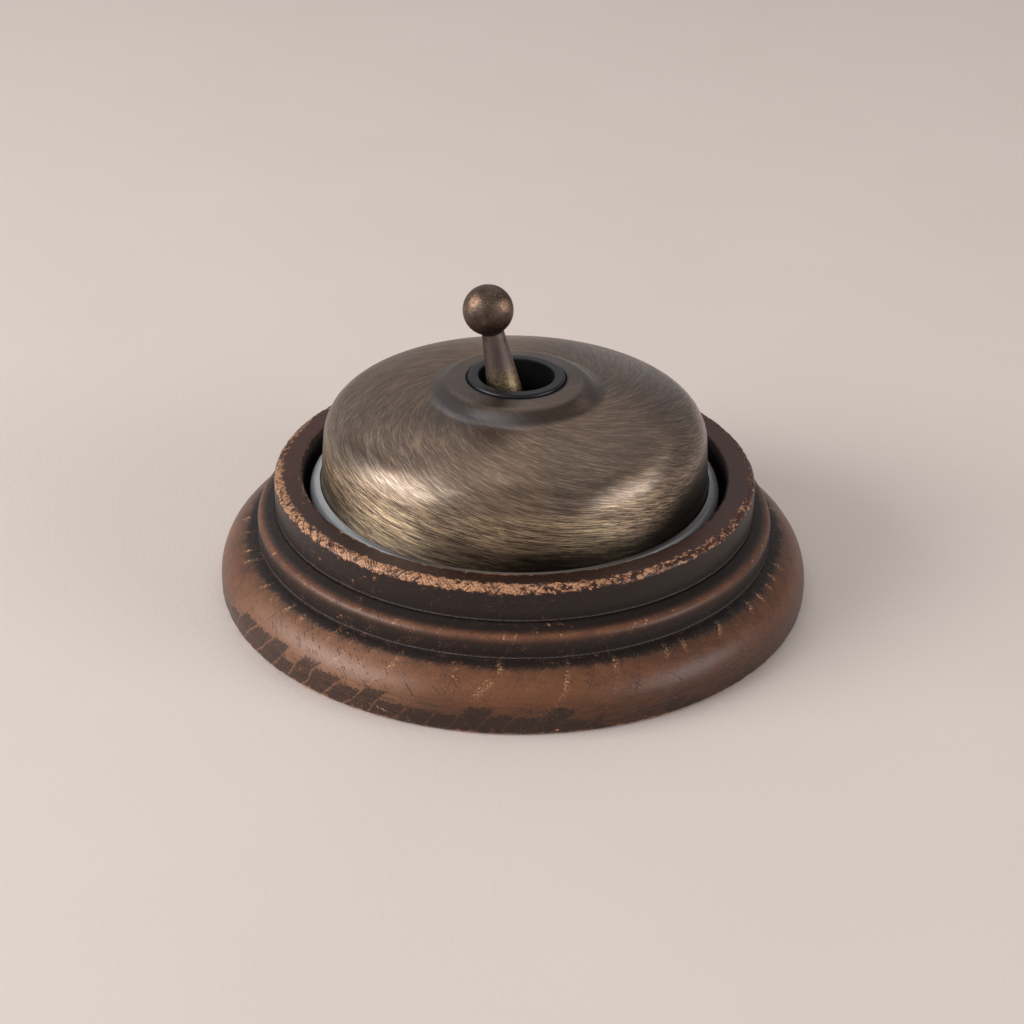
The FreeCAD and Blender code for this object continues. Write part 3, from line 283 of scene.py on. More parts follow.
def outward(points, closed):
    """The outward normal at each point of an outline that runs anticlockwise."""
    path = np.array(points)
    ahead, behind = np.roll(path, -1, axis=0), np.roll(path, 1, axis=0)
    if not closed:
        ahead[-1], behind[0] = path[-1], path[0]
    run = ahead - behind
    length = np.maximum(np.hypot(run[:, 0], run[:, 1]), 1e-9)
    return np.stack((run[:, 1] / length, -run[:, 0] / length), axis=1)


def weld(mesh):
    """Join the points that lie on the axis and turn all faces outwards."""
    work = bmesh.new()
    work.from_mesh(mesh)
    bmesh.ops.remove_doubles(work, verts=work.verts, dist=1e-7)
    bmesh.ops.recalc_face_normals(work, faces=work.faces)
    work.to_mesh(mesh)
    work.free()


def store(mesh, name, values):
    """Keep one number for each vertex, for the material to read."""
    attribute = mesh.attributes.new(name, "FLOAT", "POINT")
    attribute.data.foreach_set("value", np.array(values, np.float32))


def nearness(places, radius, height):
    """How near a point is to some places, from 0 to 1. A place is (r, z, reach, strength)."""
    return max(strength * math.exp(-((radius - r) ** 2 + (height - z) ** 2) / reach ** 2)
               for r, z, reach, strength in places)


def store_nearness(thing, name, places):
    """Keep the nearness of each vertex to some places of the outline."""
    values = []
    for vertex in thing.data.vertices:
        x, y, z = vertex.co / MM
        values.append(nearness(places, math.hypot(x, y), z))
    store(thing.data, name, values)


def hole_tool(name, radius, low, high, x, y, sink=None):
    """A cylinder, or a stepped cutter with a countersink (radius, height) at its top."""
    corners = [(0, low), (radius, low)]
    if sink:
        corners += [(radius, sink[1] - (sink[0] - radius)), sink, (sink[0], high)]
    else:
        corners += [(radius, high)]
    tool = lathe(name, corners + [(0, high)], HOLE_AROUND, closed=False)
    tool.data.transform(Matrix.Translation((x * MM, y * MM, 0)))
    return tool


def cut_out(thing, tools):
    """Cut each tool out of a mesh and delete the tool."""
    bpy.context.view_layer.objects.active = thing
    for tool in tools:
        cutter = thing.modifiers.new("cut", "BOOLEAN")
        cutter.object = tool
        cutter.solver = "EXACT"
        bpy.ops.object.modifier_apply(modifier=cutter.name)
        bpy.data.objects.remove(tool)


# ---------------------------------------------------------------- material helper
class Paint:
    """A node material, with short calls for the nodes that the recipes use."""

    def __init__(self, name):
        self.material = bpy.data.materials.new(name)
        self.material.use_nodes = True
        self.tree = self.material.node_tree
        self.shader = self.tree.nodes["Principled BSDF"]
        place = self.add("TexCoord").outputs["Object"]
        self.place = self.vector("SCALE", place, scale=1 / MM)
        self.x, self.y, self.z = self.parts(self.place)
        self.radius = self.math("SQRT", self.plus(self.times(self.x, self.x),
                                                  self.times(self.y, self.y)))

    def add(self, kind, **settings):
        """A new node with some of its settings."""
        node = self.tree.nodes.new("ShaderNode" + kind)
        for name, setting in settings.items():
            setattr(node, name, setting)
        return node

    def put(self, socket, value):
        """Link or set one input."""
        if isinstance(value, bpy.types.NodeSocket):
            self.tree.links.new(value, socket)
        else:
            socket.default_value = value

    def math(self, operation, *values, clamp=False):
        node = self.add("Math", operation=operation, use_clamp=clamp)
        for socket, value in zip(node.inputs, values):
            self.put(socket, value)
        return node.outputs[0]

    def times(self, product, *others):
        for other in others:
            product = self.math("MULTIPLY", product, other)
        return product

    def plus(self, total, *others):
        for other in others:
            total = self.math("ADD", total, other)
        return total

    def minus(self, first, second, clamp=False):
        return self.math("SUBTRACT", first, second, clamp=clamp)

    def larger(self, first, second):
        return self.math("MAXIMUM", first, second)

    def swing(self, value, reach):
        """A noise about zero, this many times as strong."""
        return self.times(self.minus(value, 0.5), reach)

    def vector(self, operation, *values, scale=None):
        node = self.add("VectorMath", operation=operation)
        for socket, value in zip(node.inputs, values):
            self.put(socket, value)
        if scale is not None:
            self.put(node.inputs["Scale"], scale)
        return node.outputs[0]

    def parts(self, vector):
        node = self.add("SeparateXYZ")
        self.put(node.inputs[0], vector)
        return node.outputs

    def join(self, x, y, z):
        node = self.add("CombineXYZ")
        for socket, value in zip(node.inputs, (x, y, z)):
            self.put(socket, value)
        return node.outputs[0]

    def stored(self, name):
        """A number kept with the mesh."""
        return self.add("Attribute", attribute_name=name).outputs["Fac"]

    def noise(self, where, scale, detail=2.0, roughness=0.5):
        node = self.add("TexNoise")
        self.put(node.inputs["Vector"], where)
        node.inputs["Scale"].default_value = scale
        node.inputs["Detail"].default_value = detail
        node.inputs["Roughness"].default_value = roughness
        return node.outputs[0]

    def chance(self, number):
        """A random number from 0 to 1 for each whole number."""
        node = self.add("TexWhiteNoise", noise_dimensions="1D")
        self.put(node.inputs["W"], number)
        return node.outputs[0]

    def step(self, value, low, high):
        """A soft step from 0 at low to 1 at high."""
        node = self.add("MapRange", interpolation_type="SMOOTHSTEP")
        self.put(node.inputs["Value"], value)
        node.inputs["From Min"].default_value = low
        node.inputs["From Max"].default_value = high
        return node.outputs[0]

    def blend(self, amount, first, second):
        """The first colour turned into the second by an amount; plain colours run from 0 to 255."""
        node = self.add("Mix", data_type="RGBA")
        colours = [socket for socket in node.inputs if socket.type == "RGBA"]
        self.put(node.inputs[0], amount)
        for socket, colour in zip(colours, (first, second)):
            self.put(socket, colour if isinstance(colour, bpy.types.NodeSocket) else (*srgb(*colour), 1))
        return [socket for socket in node.outputs if socket.type == "RGBA"][0]

    def mix(self, amount, first, second):
        """The first number turned into the second by an amount."""
        node = self.add("Mix")
        for socket, value in zip(node.inputs, (amount, None, first, second)):
            if value is not None:
                self.put(socket, value)
        return node.outputs[0]

    def bump(self, height, depth):
        """A bump of a depth in millimetres."""
        node = self.add("Bump")
        node.inputs["Distance"].default_value = depth * MM
        self.put(node.inputs["Height"], height)
        return node.outputs[0]

    def wound(self, twist, density, stretch, along):
        """A seamless place round the axis.

        Twist turns it by an angle, density is its features round the circle over two pi, and
        stretch is its features for each millimetre of a length.
        """
        flat = self.join(self.math("DIVIDE", self.x, self.radius),
                         self.math("DIVIDE", self.y, self.radius), 0.0)
        if twist is not None:
            node = self.add("VectorRotate", rotation_type="Z_AXIS")
            self.put(node.inputs["Vector"], flat)
            self.put(node.inputs["Angle"], twist)
            flat = node.outputs[0]
        flat = self.vector("SCALE", flat, scale=density)
        return self.vector("ADD", flat, self.join(0.0, 0.0, self.times(along, stretch)))

    def towards(self, x, y):
        """How far a place lies towards a level direction from the axis, from -1 to 1."""
        share = self.plus(self.times(self.x, x), self.times(self.y, y))
        return self.math("DIVIDE", share, self.radius)

    def finish(self, colour, roughness, normal, **fixed):
        """Set the shader: colour, roughness and normal may be linked, the rest are constants."""
        self.put(self.shader.inputs["Base Color"], colour)
        self.put(self.shader.inputs["Roughness"], roughness)
        self.put(self.shader.inputs["Normal"], normal)
        for name, value in fixed.items():
            self.shader.inputs[name.replace("_", " ").title().replace("Ior", "IOR")].default_value = value
        return self.material


def srgb(red, green, blue):
    """A colour as a screen shows it, made linear."""
    return tuple(part / 12.92 if part <= 0.04045 else ((part + 0.055) / 1.055) ** 2.4
                 for part in (red / 255, green / 255, blue / 255))


# ---------------------------------------------------------------- materials
def stained_wood():
    """Turned wood under a dark stain, rubbed through on its edges, with dirt and painted shade in its corners, and
    painted light and shade on its shoulder, bead and land.
    """
    paint = Paint("stained_wood")
    blend, mix, plus, step, times = paint.blend, paint.mix, paint.plus, paint.step, paint.times
    along = paint.stored("along")
    edge = paint.stored("edge")
    bead = paint.stored("bead")
    dirt = paint.stored("dirt")
    dust = paint.stored("dust")
    shoulder = paint.stored("shoulder")
    land = paint.stored("land")

    angle = paint.math("ARCTAN2", paint.y, paint.x)
    broad = paint.noise(paint.place, 0.09, 2)
    cloud = paint.noise(paint.place, 0.35, 4, 0.6)
    fine = paint.noise(paint.place, 2.2, 4, 0.65)
    grit = paint.noise(paint.place, 6.0, 3, 0.6)
    toward_front = paint.towards(-0.17, -0.98)
    knocked = paint.towards(-0.5, -0.87)

    # fibres run across the board, along X
    fibre = paint.noise(paint.vector("MULTIPLY", paint.place, (0.12, 1.6, 1.6)), 1.0, 4, 0.6)
    # diagonal scratches, one set each way
    lean = times(along, 0.02)
    down = paint.noise(paint.wound(lean, 150.0, 0.3, along), 1.0, 2, 0.55)
    back = times(along, -0.018)
    up = paint.noise(paint.wound(back, 110.0, 0.33, along), 1.0, 2, 0.55)

    # body colour: brown on the shoulder, espresso above it, red-brown on the land
    brown = blend(fibre, (80, 46, 30), (128, 82, 55))
    brown = blend(step(cloud, 0.45, 0.75), brown, (90, 56, 42))
    pale = times(step(grit, 0.52, 0.66), step(cloud, 0.56, 0.4))
    brown = blend(times(pale, 0.55), brown, (156, 106, 76))
    brown = blend(times(step(fine, 0.46, 0.32), 0.45), brown, (62, 38, 28))
    # lighter towards the front of the shoulder's top
    brown = blend(times(step(toward_front, 0.7, 0.98), 0.3), brown, (152, 98, 64))
    espresso = blend(fine, (20, 12, 9), (42, 28, 23))
    # painted reflection: the land is painted darker towards the front, where it mirrors the dark foot of the dome
    redwood = blend(step(toward_front, 0.9, 0.2), (24, 5, 1), (66, 28, 13))
    redwood = blend(times(fine, 0.7), redwood, (58, 25, 12))
    # painted shade: the shoulder darker towards its foot, least on the left
    low_shade = times(step(paint.z, 8.5, 2.0), mix(step(paint.towards(-0.94, -0.34), 0.6, 0.95), 0.72, 0.08))
    brown = blend(low_shade, brown, (52, 29, 19))
    # painted sheen: the shoulder lighter at the front left, where the left lamp's sheen falls
    left_sheen = step(paint.towards(-0.66, -0.75), 0.86, 0.99)
    brown = blend(times(left_sheen, 0.4), brown, (166, 120, 92))
    colour = blend(shoulder, espresso, brown)
    colour = blend(land, colour, redwood)

    # slanted chatter cells on the shoulder: a thin line between them, stain left at their foot
    cells = plus(angle, paint.swing(broad, 0.12))
    cells = times(plus(cells, times(paint.z, -0.017)), CHATTER_CELLS / FULL_TURN)
    pick = paint.chance(paint.math("FLOOR", cells))
    within = paint.math("FRACT", cells)
    reach = plus(times(pick, 2.8), 3.0)
    reach = times(reach, mix(step(knocked, 0.6, 0.86), 0.5, 1.0))
    reach = plus(reach, paint.swing(fine, 2.4))
    filled = times(
        step(paint.minus(reach, paint.z), -0.12, 0.12),
        step(within, 0.02, 0.1),
        step(within, 1.0, 0.94),
        step(plus(broad, times(step(knocked, 0.6, 0.86), 0.5)), 0.5, 0.6),
        mix(step(grit, 0.4, 0.56), 0.96, 0.72),
        shoulder)
    colour = blend(filled, colour, (41, 28, 22))
    seam = times(step(within, 0.07, 0.0), step(cloud, 0.42, 0.58), shoulder, 0.55)
    colour = blend(seam, colour, (48, 31, 23))
    streak = paint.noise(paint.wound(None, 10.0, 2.8, paint.z), 1.0, 3, 0.6)
    streak = times(step(streak, 0.48, 0.6), step(paint.z, 6.5, 2.0), shoulder, 0.8)
    colour = blend(streak, colour, (50, 34, 27))

    # copper tone where polish has thinned the stain on the bead, strongest at the front; it also stands as a
    # painted highlight along the bead's top
    polished_and_sheen = times(bead, bead, plus(0.66, times(toward_front, 0.22)))
    polished_and_sheen = times(polished_and_sheen, mix(step(cloud, 0.35, 0.62), 0.7, 1.15))
    polished_and_sheen = times(polished_and_sheen, mix(step(grit, 0.38, 0.62), 0.72, 1.2))
    colour = blend(polished_and_sheen, colour, (134, 86, 60))

    # painted shade round the corner under the step, broad and patchy and weakest at the front; then dirt in the
    # corners, with a soft uneven edge
    corner_shade = times(plus(1.05, times(toward_front, -0.5)), paint.stored("shade"))
    corner_shade = times(corner_shade, mix(step(cloud, 0.38, 0.62), 0.75, 1.2))
    colour = blend(corner_shade, colour, (46, 30, 25))
    ragged = plus(dirt, paint.swing(fine, 0.55), paint.swing(up, 0.55), paint.swing(down, 0.35),
                  paint.swing(cloud, 0.5), paint.swing(grit, 0.6))
    soiled = step(ragged, 0.2, 0.66)
    colour = blend(soiled, colour, (31, 20, 16))

    # rubbed edges in ragged streaks, broken by cuts
    ragged_rub = paint.noise(paint.wound(None, 30.0, 1.3, along), 1.0, 4, 0.7)
    leaning = paint.minus(times(knocked, 0.42), 0.16)
    rub = plus(edge, paint.swing(fine, 1.1), times(paint.minus(ragged_rub, 0.52), 3.0),
               paint.swing(down, 1.3), paint.swing(broad, 1.0), leaning)
    halo = step(rub, 0.42, 0.74)
    cuts = paint.larger(step(down, 0.56, 0.64), step(up, 0.6, 0.68))
    bare = times(step(rub, 0.78, 0.9), paint.minus(1.0, cuts))
    tan = blend(step(grit, 0.36, 0.6), (128, 78, 50), (216, 164, 124))
    colour = blend(times(halo, 0.55), colour, (92, 52, 34))
    colour = blend(bare, colour, tan)

    # nicks: pale specks below the dirt at the cell seams, on the bead and on the land
    chains = times(step(toward_front, 0.8, 0.98), paint.stored("chains"))
    seams = times(step(within, 0.34, 0.05), paint.larger(paint.stored("under"), chains),
                  step(pick, 0.15, 0.5), step(cloud, 0.4, 0.5))
    half_cells = times(cells, 2.0)
    marks = times(
        step(paint.math("FRACT", half_cells), 0.34, 0.05),
        step(paint.chance(paint.math("FLOOR", half_cells)), 0.5, 0.8),
        step(bead, 0.6, 0.98),
        step(plus(cloud, times(toward_front, 0.06)), 0.5, 0.58))
    seams = paint.larger(seams, marks)
    nick = times(seams, step(paint.noise(paint.place, 3.4, 2, 0.6), 0.5, 0.57))
    scatter = times(step(grit, 0.62, 0.68), step(cloud, 0.5, 0.6))
    nick = paint.larger(nick, times(scatter, paint.stored("nicks")))
    colour = blend(nick, colour, (200, 148, 108))
    scratch = times(step(down, 0.62, 0.7), step(cloud, 0.4, 0.62))
    scratch = times(scratch, mix(step(toward_front, 0.5, 0.9), 0.35, 1.0))
    colour = blend(times(scratch, 0.6), colour, (34, 22, 17))

    # pale dust line in each groove
    colour = blend(times(dust, step(grit, 0.36, 0.6)), colour, (132, 118, 118))

    rough = plus(0.38, times(soiled, 0.27), times(bead, 0.05), times(land, 0.08), paint.swing(fine, 0.2))
    height = plus(times(fine, 0.3), times(fibre, 0.15), times(grit, 0.12))
    height = paint.minus(height, times(scratch, 0.2))
    height = paint.minus(height, times(cuts, halo, 0.8))
    normal = paint.bump(height, 0.1)
    return paint.finish(colour, rough, normal, specular_ior_level=0.31, coat_weight=0.12,
                        coat_roughness=0.36)


def aged_brass():
    """Brass with a brown antique patina, brushed in fine hairs that wind out from the boss."""
    paint = Paint("aged_brass")
    blend, mix, plus, step, times = paint.blend, paint.mix, paint.plus, paint.step, paint.times
    drop = paint.minus(DOME_HIGH.z, paint.z)
    fall = times(drop, drop)
    cloud = paint.noise(paint.place, 0.1, 3)
    warp = paint.swing(paint.noise(paint.place, 0.06, 1), 0.25)
    turned = plus(times(paint.math("LOGARITHM", paint.radius, math.e), 1.12), times(fall, 0.0074))
    length = plus(times(paint.radius, 1.5), times(fall, 0.25))
    side = step(drop, 1.5, 7.0)

    def hairs(sweep, top_count, side_count, reach):
        """Hairs along the brushing; sweep turns them a little, reach is their length."""
        turn = plus(times(turned, -sweep), warp)
        top = paint.noise(paint.wound(turn, top_count, 1 / reach, length), 1.0, 2, 0.6)
        rim = paint.noise(paint.wound(turn, side_count, 1 / reach, length), 1.0, 2, 0.6)
        return mix(side, top, rim)

    fine = hairs(1.0, 150.0, 88.0, 2.8)
    crossed = hairs(1.55, 125.0, 72.0, 2.4)
    long = hairs(0.86, 100.0, 58.0, 5.5)
    broad = hairs(1.0, 16.0, 9.0, 9.0)
    low = step(drop, 6.5, 12.0)

    boss = step(paint.radius, BOSS_RADIUS + 0.8, BOSS_RADIUS - 0.8)
    patina = blend(cloud, (92, 71, 57), (112, 88, 71))
    shaded = times(step(paint.towards(-0.72, -0.7), 0.1, 0.9), 0.62)
    patina = blend(shaded, patina, (72, 56, 46))
    # painted light: the side's patina lighter at its very front, between the two highlights
    flank = step(paint.towards(0.0, -1.0), 0.965, 0.995)
    flank = blend(flank, (136, 116, 101), (158, 130, 108))
    patina = blend(side, patina, flank)
    uneven = times(step(broad, 0.62, 0.38), mix(side, 0.7, 0.35))
    patina = blend(uneven, patina, (88, 71, 59))
    gold = blend(side, (176, 143, 112), (196, 175, 150))
    gold = blend(low, gold, (240, 212, 170))
    bright = paint.larger(step(fine, 0.54, 0.61), times(step(crossed, 0.56, 0.63), 0.9))
    bright = paint.larger(bright, times(step(long, 0.55, 0.62), 0.9))
    bright = times(bright, mix(low, 0.58, 1.0))
    bright = times(bright, mix(step(broad, 0.36, 0.6), 0.5, 1.1))
    bright = times(bright, mix(boss, 1.0, 0.65))
    colour = blend(bright, patina, gold)
    dark = paint.larger(step(fine, 0.46, 0.38), step(long, 0.46, 0.38))
    dark = times(dark, mix(low, mix(side, 0.4, 0.3), 0.9), mix(boss, 1.0, 0.4))
    colour = blend(dark, colour, (46, 37, 31))
    smooth = blend(cloud, (74, 67, 66), (92, 82, 77))
    colour = blend(times(boss, 0.55), colour, smooth)
    # painted sheen: a blue-grey reflection painted on the boss's foot fillet at the front left
    hollow = times(step(paint.radius, BOSS_RADIUS - 2.6, BOSS_RADIUS - 1.0),
                   step(paint.radius, BOSS_RADIUS + 1.6, BOSS_RADIUS + 0.2))
    hollow = times(hollow, step(paint.towards(-0.55, -0.83), 0.55, 1.0))
    colour = blend(times(hollow, 0.45), colour, (104, 107, 113))

    # painted shade along the foot, climbing higher on the right and least at the front left; darker also round the
    # hole's lip
    toward_front = step(paint.towards(-0.8, -0.6), 0.45, 0.95)
    shade_climb_right = times(step(paint.towards(0.98, 0.2), 0.45, 0.95), 5.0)
    foot_shade = step(plus(drop, shade_climb_right), 12.0, 17.0)
    foot_shade = times(foot_shade, mix(toward_front, 0.88, 0.22))
    collar = step(plus(paint.radius, times(fine, 0.4)), 9.0, 8.5)
    colour = blend(paint.larger(foot_shade, collar), colour, (24, 19, 16))

    rough = plus(mix(side, 0.36, 0.44), times(paint.minus(0.5, fine), 0.35))
    rough = mix(boss, rough, 0.38)
    height = plus(fine, plus(long, times(crossed, 0.5)))
    height = times(height, mix(low, 0.55, 1.0), mix(boss, 1.0, 0.35))
    normal = paint.bump(height, 0.02)

    # highlights stretch across the brushing
    lift = paint.parts(paint.add("TexCoord").outputs["Normal"])[2]
    flare = paint.math("SQRT", paint.minus(1.0, times(lift, lift), clamp=True))
    slant = times(drop, 0.0148, paint.radius)
    slant = plus(times(slant, flare), times(lift, 1.12))
    out_x = paint.math("DIVIDE", paint.x, paint.radius)
    out_y = paint.math("DIVIDE", paint.y, paint.radius)
    outwards = paint.join(times(out_x, lift), times(out_y, lift), times(flare, -1.0))
    round_it = paint.join(times(out_y, -1.0), out_x, 0.0)
    across = paint.vector("SUBTRACT", round_it, paint.vector("SCALE", outwards, scale=slant))
    paint.put(paint.shader.inputs["Tangent"], paint.vector("NORMALIZE", across))
    return paint.finish(colour, rough, normal, metallic=1.0, anisotropic=0.85, coat_weight=0.42,
                        coat_roughness=0.3)


def aged_bronze():
    """Dark mottled bronze: brown on the ball, grey on the stem, gold where the bush rubs it, and gold patches on
    the ball that are partly rubbed metal and partly painted highlights.
    """
    paint = Paint("aged_bronze")
    ball = paint.stored("ball")
    rubbed = paint.stored("rubbed")
    cloud = paint.noise(paint.place, 0.38, 5, 0.6)
    fine = paint.noise(paint.place, 2.6, 4, 0.7)
    grit = paint.noise(paint.place, 7.5, 3, 0.6)
    grey = paint.blend(fine, (76, 68, 67), (126, 113, 109))
    brown = paint.blend(fine, (68, 58, 52), (114, 95, 83))
    colour = paint.blend(ball, grey, brown)
    # gold patches on the ball, partly rubbed metal and partly painted highlights where the two lamps shine
    worn = paint.plus(paint.stored("rubbed_and_highlit"), paint.swing(cloud, 1.6))
    worn = paint.times(paint.step(worn, 0.4, 0.85), ball)
    worn = paint.times(worn, paint.mix(paint.step(grit, 0.42, 0.58), 0.12, 0.8))
    colour = paint.blend(worn, colour, (178, 140, 112))
    speck = paint.times(paint.step(grit, 0.58, 0.66), paint.step(cloud, 0.46, 0.58))
    speck = paint.times(speck, paint.mix(ball, 0.25, 0.7))
    bush_marks = paint.times(paint.step(grit, 0.44, 0.52), rubbed, paint.step(fine, 0.36, 0.48))
    dull = paint.times(paint.step(cloud, 0.46, 0.34), paint.minus(0.6, rubbed, clamp=True))
    colour = paint.blend(dull, colour, (48, 42, 40))
    colour = paint.blend(paint.larger(speck, bush_marks), colour, (240, 210, 156))
    rough = paint.plus(0.34, paint.times(fine, 0.2))
    normal = paint.bump(paint.plus(fine, paint.times(grit, 0.5)), 0.06)
    return paint.finish(colour, rough, normal, metallic=1.0)


def porcelain():
    """White glazed porcelain, a little uneven, with a few pinholes, a dull painted shadow on its rim next to the
    dome, and painted shade at its front and right.
    """
    paint = Paint("porcelain")
    wave = paint.noise(paint.place, 0.22, 2)
    speck = paint.step(paint.noise(paint.place, 3.2, 2, 0.6), 0.73, 0.78)
    colour = paint.blend(wave, (208, 214, 220), (222, 226, 229))
    colour = paint.blend(paint.times(speck, 0.5), colour, (150, 146, 138))
    # painted shadow: a dull dark band on the rim's top next to the dome's foot, strongest at the front
    crest = paint.times(paint.step(paint.z, RIM_TOP - 1.5, RIM_TOP - 1.2),
                       paint.step(paint.radius, DOME_RADIUS + 1.05, DOME_RADIUS + 0.65))
    crest = paint.times(crest, paint.mix(paint.step(paint.towards(0.25, -0.97), 0.1, 0.8), 0.35, 0.96))
    colour = paint.blend(crest, colour, (52, 44, 38))
    # painted shadow: the porcelain darker at the front, under the dome
    front_shadow = paint.step(paint.towards(0.15, -0.99), 0.8, 0.99)
    colour = paint.blend(paint.times(front_shadow, 0.55), colour, (128, 116, 106))
    # painted shade: the porcelain darker on its right side
    dim = paint.step(paint.towards(0.97, -0.24), 0.8, 0.99)
    colour = paint.blend(paint.times(dim, 0.65), colour, (92, 88, 84))
    rough = paint.plus(0.09, paint.times(wave, 0.08), paint.times(crest, 0.3))
    normal = paint.bump(wave, 0.25)
    return paint.finish(colour, rough, normal, specular_ior_level=0.6, coat_weight=0.6, coat_roughness=0.05)


def moulded(name, dark, light, roughness, bore=0.0):
    """A moulded plastic with a faint mottle, turning lines and fine pores; painted shade, near black, inside a
    bore.
    """
    paint = Paint(name)
    cloud = paint.noise(paint.place, 0.8, 3)
    fine = paint.noise(paint.place, 5.0, 3, 0.6)
    rings = paint.noise(paint.wound(None, 6.0, 3.0, paint.plus(paint.radius, paint.z)), 1.0, 2)
    colour = paint.blend(cloud, dark, light)
    rough = paint.plus(roughness, paint.swing(fine, 0.15))
    if bore:
        # painted shade: the bore's inside painted near black and matt
        bore_shade = paint.step(paint.radius, bore + 0.12, bore)
        colour = paint.blend(bore_shade, colour, (1, 1, 1))
        rough = paint.mix(bore_shade, rough, 1.0)
    height = paint.plus(paint.times(fine, 0.4), paint.times(rings, 0.6))
    return paint.finish(colour, rough, paint.bump(height, 0.03), specular_ior_level=0.32)


def machined(name, colour, tarnish, roughness, tarnished):
    """A turned or rolled metal with fine tool lines and some tarnish."""
    paint = Paint(name)
    cloud = paint.noise(paint.place, 0.5, 4, 0.6)
    lines = paint.noise(paint.vector("MULTIPLY", paint.place, (0.6, 0.6, 9.0)), 1.0, 2)
    grain = paint.noise(paint.vector("MULTIPLY", paint.place, (1.2, 9.0, 1.2)), 1.0, 2)
    stain = paint.times(paint.step(cloud, 0.45, 0.75), tarnished)
    tone = paint.blend(stain, colour, tarnish)
    tone = paint.blend(paint.times(grain, 0.25), tone, tarnish)
    rough = paint.plus(roughness, paint.times(stain, 0.2))
    height = paint.plus(lines, grain)
    return paint.finish(tone, rough, paint.bump(height, 0.02), metallic=1.0)


def red_fibre():
    """Vulcanised fibre: dull red with a felted grain."""
    paint = Paint("red_fibre")
    felt = paint.noise(paint.vector("MULTIPLY", paint.place, (1.5, 1.5, 6.0)), 1.6, 4, 0.65)
    colour = paint.blend(felt, (92, 28, 20), (140, 52, 38))
    return paint.finish(colour, paint.plus(0.55, paint.times(felt, 0.25)), paint.bump(felt, 0.05))


# ---------------------------------------------------------------- pieces
def place_piece(thing, body, node, material):
    """Let a piece ride on its body and stand for its CAD node."""
    thing.data.materials.append(material)
    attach(thing, body)
    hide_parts(node)


def wood_outline():
    """The pattress's turned outline from the cable opening's lower edge, and its upper groove's height."""
    arc_end = (STEP_RADIUS - STEP_ROUND * (1 - math.cos(math.pi / 2 - STEP_SLOPE)),
               STEP_ARC_START + STEP_ROUND * math.sin(math.pi / 2 - STEP_SLOPE))
    slope_end = arc_end[1] + (arc_end[0] - RING_RADIUS - GROOVE_WIDTH) * math.tan(STEP_SLOPE)
    corners = [
        (OPENING_RADIUS, 0, COARSE),
        (BASE_RADIUS - FOOT_ROUND, 0, FINE, FOOT_ROUND, 1),
        (BASE_RADIUS, FOOT_ROUND, FINE),
        (BASE_RADIUS, FOOT_HEIGHT, FINE, SHOULDER_RADIUS, 1),
        (STEP_RADIUS, SHOULDER_TOP, FINE / 2),
        (STEP_RADIUS - GROOVE_DEPTH, SHOULDER_TOP + GROOVE_WIDTH / 2, FINE / 2),
        (STEP_RADIUS, SHOULDER_TOP + GROOVE_WIDTH, FINE),
        (STEP_RADIUS, STEP_ARC_START, FINE / 2, STEP_ROUND, 1),
        (*arc_end, FINE),
        (RING_RADIUS + GROOVE_WIDTH, slope_end, FINE / 2),
        (RING_RADIUS - GROOVE_DEPTH, slope_end, FINE / 2),
        (RING_RADIUS, slope_end + GROOVE_WIDTH, FINE),
        (RING_RADIUS, RING_TOP - RING_EDGE_ROUND, FINE / 2, RING_EDGE_ROUND, 1),
        (RING_RADIUS - RING_EDGE_ROUND, RING_TOP, FINE),
        (RECESS_RADIUS + RING_BORE_ROUND, RING_TOP, FINE / 2, RING_BORE_ROUND, 1),
        (RECESS_RADIUS, RING_TOP - RING_BORE_ROUND, 1.0),
        (RECESS_RADIUS, FLOOR_HEIGHT, COARSE),
        (OPENING_RADIUS, FLOOR_HEIGHT, COARSE),
    ]
    return outline(corners), slope_end


